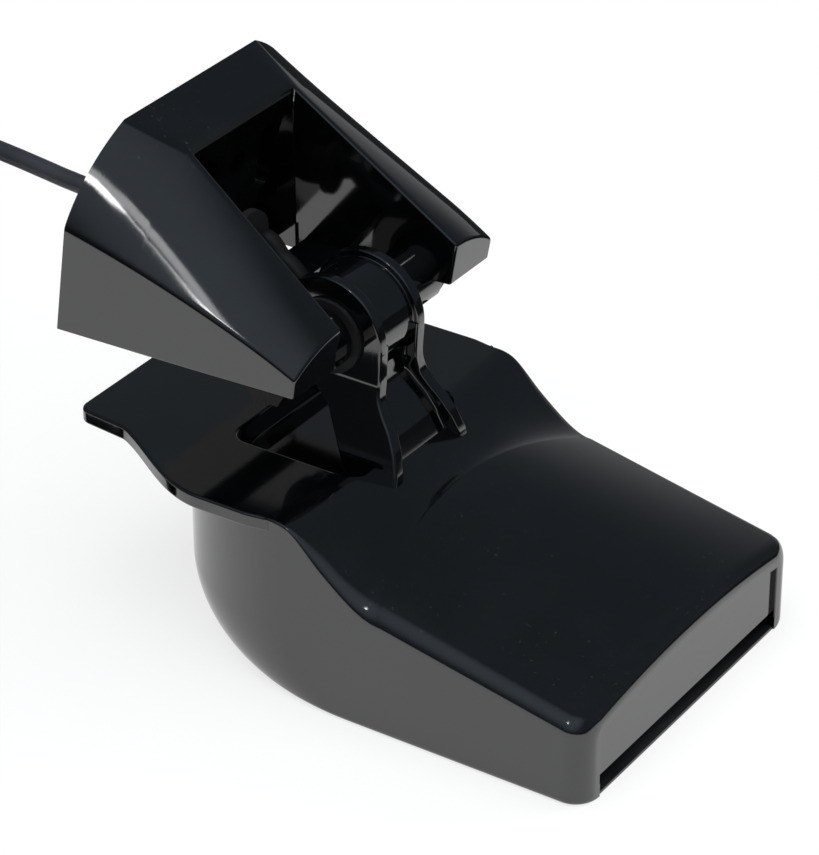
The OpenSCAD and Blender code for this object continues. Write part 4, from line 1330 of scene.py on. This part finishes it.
def settled_dust_group():
    """Specks of dust, thicker on faces that look up."""
    tree, into, out = shader_group("Settled dust", [("Speck scale", 900.0), ("Amount", 0.5)], ["Dust"])
    place = into.outputs["Vector"]
    specks = threshold(tree, noise(tree, place, into.outputs["Speck scale"], 2.0), 0.66, 0.78)
    patch = add(tree, "ShaderNodeTexNoise", Scale=30.0)
    tree.links.new(place, patch.inputs["Vector"])
    apart = add(tree, "ShaderNodeSeparateXYZ")
    wire(tree, (add(tree, "ShaderNodeNewGeometry"), "Normal", apart, "Vector"))
    upward = threshold(tree, apart.outputs["Z"], 0.2, 1.0)
    thick = math_node(tree, "MULTIPLY", specks, threshold(tree, patch.outputs["Fac"], 0.4, 0.7))
    lying = math_node(tree, "MULTIPLY", thick, upward)
    tree.links.new(math_node(tree, "MULTIPLY", lying, into.outputs["Amount"]), out.inputs["Dust"])
    return tree


def fine_scratch_group():
    """Hair lines in two directions, broken up by a cloud."""
    tree, into, out = shader_group("Fine scratches", [("Line scale", 40.0), ("Stretch", 30.0)], ["Scratch"])
    masks = []
    for turn in (0.35, 2.1):
        lay = add(tree, "ShaderNodeMapping", Rotation=(turn, turn * 0.7, turn * 1.3))
        pull = add(tree, "ShaderNodeCombineXYZ", Y=1.0, Z=1.0)
        wire(
            tree, (into, "Vector", lay, "Vector"),
            (into, "Stretch", pull, "X"), (pull, "Vector", lay, "Scale"),
        )
        lines = noise(tree, lay.outputs["Vector"], into.outputs["Line scale"], 3.0)
        masks.append(threshold(tree, lines, 0.66, 0.70))
    tree.links.new(math_node(tree, "MAXIMUM", masks[0], masks[1]), out.inputs["Scratch"])
    return tree


def cross_weave_group():
    """Over and under threads of a woven band."""
    tree, into, out = shader_group("Cross weave", [("Thread scale", 900.0)], ["Weave"])
    waves = []
    for axis in ("X", "Z"):
        wave = add(tree, "ShaderNodeTexWave", Distortion=0.6)
        wave.bands_direction = axis
        wire(tree, (into, "Vector", wave, "Vector"), (into, "Thread scale", wave, "Scale"))
        waves.append(wave.outputs["Fac"])
    tree.links.new(math_node(tree, "MULTIPLY", waves[0], waves[1]), out.inputs["Weave"])
    return tree


class Finishes:
    """All finishes of the part, made once."""

    def __init__(self, colours):
        self.grain = moulded_grain_group()
        self.dust = settled_dust_group()
        self.scratch = fine_scratch_group()
        self.weave = cross_weave_group()
        self.colours = colours

    def moulding(self, name, base, low, high, bump=0.06, index=1.5, dust=0.35, grain=2600.0):
        """Moulded plastic or rubber: smudged gloss, ripple, grain and a little dust."""
        f = Finish(name, base, low)
        f.shader.inputs["IOR"].default_value = index
        skin = f.group(self.grain, Grain_scale=grain)
        specks = f.group(self.dust, Amount=dust)
        lines = f.group(self.scratch)
        deep = tuple(c * 0.8 for c in base)
        lighter = tuple(min(c * 1.6 + 0.0006, 1) for c in base)
        cloudy = f.tint(skin.outputs["Smudge"], deep, lighter)
        f.set("Base Color", f.tint(specks.outputs["Dust"], cloudy, DUST_COLOUR))
        worn = math_node(f.tree, "MAXIMUM", skin.outputs["Smudge"], lines.outputs["Scratch"])
        f.set("Roughness", f.span(worn, low, high))
        under = f.bump(skin.outputs["Ripple"], 0.25, 0.00004)
        f.bump(skin.outputs["Grain"], bump, 0.00006, under)

    def steel(self, name, base):
        f = Finish(name, base, 0.3, 1.0)
        lines = f.group(self.scratch, Line_scale=160.0, Stretch=14.0)
        skin = f.group(self.grain, Grain_scale=1800.0, Smudge_scale=90.0)
        dark = tuple(c * 0.72 for c in base)
        f.set("Base Color", f.tint(skin.outputs["Smudge"], base, dark))
        f.set("Roughness", f.span(lines.outputs["Scratch"], 0.24, 0.5))
        f.bump(skin.outputs["Grain"], 0.08, 0.00005)

    def granular(self, name, one, two, scale, rough, bump):
        """Cork, ceramic, resin and laminate: two tones in a grain of their own scale."""
        f = Finish(name, one, rough)
        skin = f.group(self.grain, Grain_scale=scale, Smudge_scale=scale * 0.3)
        f.set("Base Color", f.tint(skin.outputs["Smudge"], one, two))
        f.set("Roughness", f.span(skin.outputs["Grain"], rough * 0.85, min(rough * 1.2, 1)))
        f.bump(skin.outputs["Grain"], bump, 0.0002)

    def woven(self, name, base):
        f = Finish(name, base, 0.8)
        f.shader.inputs["Sheen Weight"].default_value = 0.3
        threads = f.group(self.weave)
        f.set("Base Color", f.tint(threads.outputs["Weave"], tuple(c * 0.5 for c in base),
                                   tuple(c * 2.2 + 0.01 for c in base)))
        f.set("Roughness", f.span(threads.outputs["Weave"], 0.9, 0.65))
        f.bump(threads.outputs["Weave"], 0.5, 0.0003)

    def make(self):
        c = {key: tuple(getattr(self.colours, key)) for key in type(self.colours).__annotations__}
        self.moulding("black_plastic", c["black_plastic"], 0.07, 0.10, bump=0.04, index=1.8, dust=0.1)
        self.moulding("window_plastic", c["window_plastic"], 0.32, 0.42, bump=0.12)
        self.moulding("plug_plastic", (0.010, 0.0105, 0.0115), 0.34, 0.46, bump=0.15)
        self.moulding("gland_plastic", (0.05, 0.052, 0.055), 0.4, 0.5, bump=0.1)
        self.moulding("cable_jacket", c["cable_jacket"], 0.42, 0.55, bump=0.12, dust=0.5, grain=1500.0)
        self.moulding("soft_rubber", c["rubber"], 0.55, 0.7, bump=0.3, index=1.45, dust=0.5, grain=1200.0)
        worn = (0.012, 0.012, 0.013)
        self.moulding("friction_rubber", worn, 0.6, 0.75, bump=0.3, index=1.45, dust=0.3, grain=1200.0)
        self.moulding("bush_nylon", (0.52, 0.50, 0.44), 0.4, 0.5, bump=0.1)
        steel = c["hardware"]
        self.moulding("blackened_steel", steel, 0.45, 0.6, bump=0.1, index=1.3, dust=0.1, grain=1800.0)
        # Painted shade: a near-black colour for the lead in the trough, standing in for the shade that falls
        # there
        sleeve = (0.004, 0.0042, 0.0046)
        self.moulding("lead_sleeve", sleeve, 0.4, 0.5, bump=0.1, index=1.45, dust=0.2, grain=1500.0)
        self.steel("contact_brass", (0.72, 0.52, 0.22))
        self.steel("copper_winding", (0.62, 0.28, 0.12))
        self.woven("tie_nylon", c["tie"])
        self.granular("cork", (0.42, 0.25, 0.12), (0.30, 0.16, 0.07), 700.0, 0.85, 0.5)
        self.granular("piezo_ceramic", (0.70, 0.66, 0.56), (0.62, 0.57, 0.46), 1600.0, 0.6, 0.1)
        self.granular("matching_resin", (0.27, 0.25, 0.14), (0.22, 0.20, 0.11), 900.0, 0.45, 0.1)
        self.granular("board_laminate", (0.03, 0.14, 0.05), (0.02, 0.10, 0.04), 1500.0, 0.4, 0.1)
        self.granular("lead_wire", (0.53, 0.04, 0.03), (0.45, 0.03, 0.025), 1500.0, 0.45, 0.1)
        self.granular("potting_resin", (0.04, 0.036, 0.03), (0.03, 0.027, 0.022), 500.0, 0.35, 0.1)


NODE_FINISH = {
    "pivot_bolt": "blackened_steel", "bolt_washers": "blackened_steel", "pivot_nut": "blackened_steel",
    "friction_washers": "friction_rubber", "cable_grommet": "soft_rubber", "coil_tie": "tie_nylon",
    "pivot_bush": "bush_nylon", "matching_layer": "matching_resin",
    "piezo_disc": "piezo_ceramic", "cork_ring": "cork", "cork_backing": "cork",
    "circuit_board": "board_laminate", "tuning_coil": "copper_winding", "element_leads": "lead_wire",
    "potting": "potting_resin", "inner_cable": "cable_jacket", "cable_gland": "gland_plastic",
    "connector_body": "plug_plastic",
}


def finish_named(name):
    material = bpy.data.materials.get(FINISH_PREFIX + name)
    if material is None:
        raise RuntimeError("the finish " + name + " isn't made yet")
    return material


# Operators

class TRANSDUCER_OT_finishes(Operator):
    """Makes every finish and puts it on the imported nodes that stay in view"""
    bl_idname = "transducer.finishes"
    bl_label = "Finishes"

    def execute(self, context):
        Finishes(settings().colours).make()
        for node, name in NODE_FINISH.items():
            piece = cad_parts[node]
            if not piece.material_slots:
                piece.data.materials.append(None)
            for holder in piece.material_slots:
                holder.material = finish_named(name)
        return {"FINISHED"}


class TRANSDUCER_OT_housing(Operator):
    """Builds the smooth housing with its flange, pocket, end panel and arm"""
    bl_idname = "transducer.housing"
    bl_label = "Housing"

    def execute(self, context):
        shell = polish(build_housing())
        paint(shell, finish_named("black_plastic"))
        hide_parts("housing")
        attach(shell, "transducer")
        plate = polish(build_plate())
        paint(plate, finish_named("window_plastic"))
        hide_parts("base_plate")
        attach(plate, "transducer")
        return {"FINISHED"}


class TRANSDUCER_OT_bracket(Operator):
    """Builds the smooth bracket with its trough, bosses and holes"""
    bl_idname = "transducer.bracket"
    bl_label = "Bracket"

    def execute(self, context):
        shell = polish(build_bracket())
        paint(shell, finish_named("black_plastic"))
        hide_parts("bracket")
        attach(shell, "bracket")
        return {"FINISHED"}


class TRANSDUCER_OT_cable(Operator):
    """Lays the cable: the lead through the trough, the free run, the coil and the tail"""
    bl_idname = "transducer.cable"
    bl_label = "Cable"

    def execute(self, context):
        (c, a), at = sizes("cord", "arm"), cord_places()
        jacket = finish_named("cable_jacket")
        line = cord_line()
        cord = mesh_object("cable_run", tube_skin(line, c.cable_d / 2, 12))
        soften(cord, 60)
        paint(cord, jacket)
        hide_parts("cable", "cable_coil", "cable_tail")
        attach(cord, "bracket")

        aim, duct = duct_line(a, at.pivot_x)
        duct += aim * math.sqrt((a.head_r - a.barrel_drop) ** 2 - a.duct_offset ** 2)
        grommet = Vector((at.grommet_x, 0, at.out[2]))
        bend = [duct, duct + aim, duct + Vector(LEAD_OUT), duct + Vector(LEAD_OVER),
                grommet + Vector(LEAD_IN), grommet, Vector(at.out)]
        lead = mesh_object("lead_bend", tube_skin(through(bend, 5), c.cable_d / 2, 16))
        soften(lead, 60)
        # Painted shade: the lead is coloured near-black for the shade in the trough
        paint(lead, finish_named("lead_sleeve"))
        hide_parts("lead_in_bracket")
        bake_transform(lead)
        return {"FINISHED"}


# Small sizes of the connector, in millimetres; the pins' circle is a share of the socket
PLUG_STEP = 3
BOOT_COLLAR, BOOT_WALL, BOOT_STEP = 4, 1.0, 0.6
BOOT_RING_LIFT, BOOT_RING_R, BOOT_RING_START = 1.15, 0.55, 2.5
GRIP_PAST, GRIP_FIT, RIB_R = 2, 0.15, 1.0
SOCKET_WALL, SOCKET_DEPTH = 1.8, 9
DISC_FIT, DISC_T = 0.3, 0.3
PIN_SHORT, PIN_CIRCLE = 2, 0.55


class TRANSDUCER_OT_connector(Operator):
    bl_idname = "transducer.connector"
    bl_label = "Connector"

    def execute(self, context):
        c, counts, at = lengths(settings().cord), settings().counts, cord_places()
        start = (at.boot_x, at.tail_y, at.plug_z)
        bars = bars_in_circle_tree()
        boot = self.boot(c, counts, start)
        ring = self.grip(c, counts, start, bars)
        pins = self.contacts(c, counts, start, bars)
        line = cord_line()
        return {"FINISHED"}

    def boot(self, c, counts, start):
        """Strain relief: a cone from the cable to a collar at the connector, with rings on it."""
        end_r, cable_r = (c.plug_d - PLUG_STEP) / 2, c.cable_d / 2
        cone, thin, thick = c.boot_len - BOOT_COLLAR, cable_r + BOOT_WALL, end_r - BOOT_STEP
        profile = [(0, CORE_R), (0, cable_r + 0.8), (0.5, thin)]
        profile += [(t * cone, mix(thin, thick, t)) for t in steps(0.1, 1, 9)]
        profile += [(c.boot_len - 3.4, end_r - 0.1), (c.boot_len - 2.8, end_r), (c.boot_len, end_r),
                    (c.boot_len, CORE_R)]
        boot = mesh_object("strain_relief", Skin().turn_x(start, profile))
        pitch = (c.boot_len - 2 * BOOT_COLLAR) / counts.boot_rings
        growth = pitch / cone * (end_r - BOOT_STEP - cable_r - BOOT_WALL)
        grow_repeats(boot, rings_in_line_tree(), {
            "Count": counts.boot_rings, "Pitch": pitch * MM, "First radius": (cable_r + BOOT_RING_LIFT) * MM,
            "Growth": growth * MM, "Thickness": BOOT_RING_R * MM,
            "Start": metres((start[0] + BOOT_RING_START, start[1], start[2])),
            "Material": finish_named("soft_rubber"),
        })
        soften(boot, 40)
        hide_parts("connector_boot")
        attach(boot, "bracket")
        return boot

    def grip(self, c, counts, start, bars):
        """Coupling ring: a sleeve with a collar at each end and ribs between them."""
        first = c.boot_len + c.plug_len - c.ring_len + GRIP_PAST
        last = first + c.ring_len
        inner, outer = c.plug_d / 2 + GRIP_FIT, c.ring_d / 2
        low, high = outer - 0.9, outer - 0.4
        wall = [(first, inner), (first, low), (first + 0.5, high), (first + 1.2, high), (first + 1.7, low),
                (last - 1.7, low), (last - 1.2, high), (last - 0.5, high), (last, low), (last, inner)]
        skin = Skin()
        made = [skin.ring(points) for points in rings_x(start, wall)]
        skin.bands(made + made[:1])
        ring = mesh_object("coupling_grip", skin)
        grow_repeats(ring, bars, {
            "Count": counts.ribs, "Circle radius": (outer - RIB_R) * MM, "Bar radius": RIB_R * MM,
            "Bar length": (c.ring_len - 3) * MM,
            "Middle": metres((start[0] + first + c.ring_len / 2, start[1], start[2])),
            "Material": finish_named("plug_plastic"),
        })
        soften(ring, 40)
        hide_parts("coupling_ring")
        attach(ring, "bracket")
        return ring

    def contacts(self, c, counts, start, bars):
        """Pins round a circle on a thin disc at the floor of the connector's socket."""
        socket_r = c.plug_d / 2 - SOCKET_WALL
        floor, disc_r = c.boot_len + c.plug_len - SOCKET_DEPTH, socket_r - DISC_FIT
        pins = mesh_object("contact_set", Skin().turn_x(start, [
            (floor, CORE_R), (floor, disc_r), (floor + DISC_T, disc_r), (floor + DISC_T, CORE_R)]))
        run = SOCKET_DEPTH - PIN_SHORT
        middle = start[0] + c.boot_len + c.plug_len - SOCKET_DEPTH + run / 2
        grow_repeats(pins, bars, {
            "Count": counts.pins, "Circle radius": socket_r * PIN_CIRCLE * MM, "Bar radius": c.pin_d / 2 * MM,
            "Bar length": run * MM, "Middle": metres((middle, start[1], start[2])),
            "Material": finish_named("contact_brass"),
        })
        soften(pins, 40)
        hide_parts("connector_pins")
        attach(pins, "bracket")
        return pins


# The camera, fitted to the photo, in degrees, metres and pixels
CAMERA_AZIMUTH, CAMERA_HEIGHT, CAMERA_ROLL = 33.527, 30.553, -0.123
CAMERA_PLACE = (0.3606, -0.5467, 0.4304)
FOCAL_PIXELS, PICTURE_WIDTH, SENSOR = 3813.9, 819, 36.0
# The floor reaches this far, in millimetres; its white pool of painted glow, seen in reflections, ends over
# these distances, in metres
FLOOR_REACH = 30000
POOL_MIDDLE, POOL_EDGE, POOL_SHARE = (-0.02, -0.03, 0), (0.175, 0.25), (0.75, 1.0)
POOL_FAR, WHITE = (0.03, 0.033, 0.036), (1.0, 1.0, 1.0)
# The room's colours, and the stretches of direction over which they change
ROOM_BASE, ROOM_PALE, ROOM_SOFT = (0.086, 0.102, 0.122), (0.36, 0.37, 0.38), (0.34, 0.40, 0.46)
ROOM_LOW, ROOM_STARBOARD, ROOM_AHEAD = (0.05, 0.60), (0.2, 0.9), (-0.05, 0.35)
SOFT_TURN, SOFT_RISE, SOFT_CONE = -72, 54, (0.55, 1.0)
# Lamps: the key pair aims at the bracket's shoulder from angles in plan and of rise; sizes in metres
SHOULDER = (-0.04, -0.02, 0.09)
KEY_AWAY = 1.25
KEY_LIGHTS = (("key_light", -83, 44.5, (0.06, 0.12), 0.36), ("key_fade", -80.5, 50.5, (0.08, 0.16), 0.13))
ROOM_LIGHTS = (
    ("ceiling_light", (0.15, -0.25, 1.6), (0, 0, 0.04), (1.8, 1.8), 30.0),
    ("rear_light", (0.9, 1.1, 0.8), (0.08, 0.05, 0), (0.8, 0.8), 8.0),
)


def toward(turn, rise):
    """A direction, from an angle in plan and an angle of rise."""
    return Vector((cosd(rise) * cosd(turn), cosd(rise) * sind(turn), sind(rise)))


class TRANSDUCER_OT_stage(Operator):
    """Sets the floor, the light and the camera"""
    bl_idname = "transducer.stage"
    bl_label = "Stage"

    def execute(self, context):
        scene = context.scene
        self.floor()
        self.world(scene)
        for name, turn, rise, size, power in KEY_LIGHTS:
            place = Vector(SHOULDER) + KEY_AWAY * toward(turn, rise)
            self.lamp(scene, name, place, SHOULDER, size, power)
        for name, place, target, size, power in ROOM_LIGHTS:
            self.lamp(scene, name, place, target, size, power, glossy=False)
        self.camera(scene)
        scene.view_settings.view_transform = "Standard"
        return {"FINISHED"}

    def floor(self):
        """A pale floor that glows white for the camera; in the gloss it glows as a painted white pool near
        the part and is dark beyond.
        """
        skin, signs = Skin(), ((-1, -1), (1, -1), (1, 1), (-1, 1))
        skin.faces.append(tuple(skin.ring([(x * FLOOR_REACH, y * FLOOR_REACH, 0) for x, y in signs])))
        floor = mesh_object("floor", skin)
        f = Finish("floor_paint", tuple(settings().colours.floor), 0.9)
        f.shader.inputs["Specular IOR Level"].default_value = 0.0
        far = threshold(f.tree, vector_math(f.tree, "DISTANCE", f.place, POOL_MIDDLE), *POOL_EDGE)
        path = add(f.tree, "ShaderNodeLightPath")
        seen = math_node(f.tree, "MAXIMUM", path.outputs["Is Camera Ray"], path.outputs["Is Glossy Ray"])
        seen = math_node(f.tree, "MAXIMUM", seen, path.outputs["Is Transmission Ray"])
        share = math_node(f.tree, "MULTIPLY", seen, f.span(far, *POOL_SHARE))
        # Painted glow: emission, white for the camera, and in reflections white near the part and dark beyond
        glow, blend = add(f.tree, "ShaderNodeEmission"), add(f.tree, "ShaderNodeMixShader")
        pool = f.tint(far, WHITE, POOL_FAR)
        f.tree.links.new(f.tint(path.outputs["Is Camera Ray"], pool, WHITE), glow.inputs["Color"])
        f.tree.links.new(share, blend.inputs["Fac"])
        wire(
            f.tree, (f.shader, "BSDF", blend, 1), (glow, "Emission", blend, 2),
            (blend, "Shader", f.tree.nodes["Material Output"], "Surface"),
        )
        paint(floor, f.material)

    def world(self, scene):
        """A dim room, paler low down to starboard, with a soft light high to port; white for the camera."""
        world = bpy.data.worlds.new("studio")
        world.use_nodes = True
        tree = world.node_tree
        place, apart = add(tree, "ShaderNodeTexCoord"), add(tree, "ShaderNodeSeparateXYZ")
        wire(tree, (place, "Generated", apart, "Vector"))
        low = math_node(tree, "SUBTRACT", 1.0, threshold(tree, apart.outputs["Z"], *ROOM_LOW))
        aim = toward(SOFT_TURN, SOFT_RISE)
        soft = threshold(tree, vector_math(tree, "DOT_PRODUCT", place.outputs["Generated"], aim), *SOFT_CONE)
        pale = math_node(tree, "MULTIPLY", low, threshold(tree, apart.outputs["Y"], *ROOM_STARBOARD))
        pale = math_node(tree, "MULTIPLY", pale, math_node(
            tree, "SUBTRACT", 1.0, threshold(tree, apart.outputs["X"], *ROOM_AHEAD)))
        seen = add(tree, "ShaderNodeLightPath").outputs["Is Camera Ray"]
        colour_now = ROOM_BASE
        for mask, other in ((pale, ROOM_PALE), (soft, ROOM_SOFT), (seen, WHITE)):
            colour_now = mix_colours(tree, mask, colour_now, other)
        tree.links.new(colour_now, tree.nodes["Background"].inputs["Color"])
        scene.world = world

    def lamp(self, scene, name, place, target, size, power, glossy=True):
        light = bpy.data.lights.new(name, "AREA")
        light.shape, light.energy = "RECTANGLE", power
        light.size, light.size_y = size
        lamp = bpy.data.objects.new(name, light)
        lamp.location = place
        lamp.rotation_euler = (Vector(place) - Vector(target)).to_track_quat("Z", "Y").to_euler()
        lamp.visible_glossy = glossy
        scene.collection.objects.link(lamp)

    def camera(self, scene):
        lens = bpy.data.cameras.new("camera")
        lens.sensor_fit, lens.sensor_width = "HORIZONTAL", SENSOR
        lens.lens = FOCAL_PIXELS / PICTURE_WIDTH * SENSOR
        lens.clip_start, lens.clip_end = 0.01, 100.0
        camera = bpy.data.objects.new("camera", lens)
        a, e = CAMERA_AZIMUTH, CAMERA_HEIGHT
        back = Vector((sind(a) * cosd(e), -cosd(a) * cosd(e), sind(e)))
        level = Vector((cosd(a), sind(a), 0))
        upright = back.cross(level)
        right = level * cosd(CAMERA_ROLL) + upright * sind(CAMERA_ROLL)
        up = upright * cosd(CAMERA_ROLL) - level * sind(CAMERA_ROLL)
        turn = Matrix((right, up, back)).transposed().to_4x4()
        camera.matrix_world = Matrix.Translation(CAMERA_PLACE) @ turn
        scene.collection.objects.link(camera)
        scene.camera = camera


class TRANSDUCER_PT_panel(Panel):
    bl_label = "Sonar transducer"
    bl_idname = "TRANSDUCER_PT_panel"
    bl_space_type = "VIEW_3D"
    bl_region_type = "UI"
    bl_category = "Transducer"

    def draw(self, context):
        for operator in OPERATORS:
            self.layout.operator(operator.bl_idname)
        chosen = context.scene.transducer
        for key in ("housing", "arm", "bracket", "cord", "counts", "colours"):
            part = self.layout.box()
            part.label(text=key.capitalize())
            group = getattr(chosen, key)
            for name in type(group).__annotations__:
                part.prop(group, name)


GROUPS = (HousingSizes, ArmSizes, BracketSizes, CordSizes, CordCounts, FinishColours, TransducerSettings)
OPERATORS = (
    TRANSDUCER_OT_finishes, TRANSDUCER_OT_housing, TRANSDUCER_OT_bracket, TRANSDUCER_OT_cable,
    TRANSDUCER_OT_connector, TRANSDUCER_OT_stage,
)


def register():
    for kind in GROUPS + OPERATORS + (TRANSDUCER_PT_panel,):
        bpy.utils.register_class(kind)
    bpy.types.Scene.transducer = PointerProperty(type=TransducerSettings)


def unregister():
    del bpy.types.Scene.transducer
    for kind in reversed(GROUPS + OPERATORS + (TRANSDUCER_PT_panel,)):
        bpy.utils.unregister_class(kind)


def main():
    register()
    bpy.ops.transducer.finishes()
    bpy.ops.transducer.housing()
    bpy.ops.transducer.bracket()
    bpy.ops.transducer.cable()
    bpy.ops.transducer.connector()
    bpy.ops.transducer.stage()


if __name__ == "__main__":
    main()
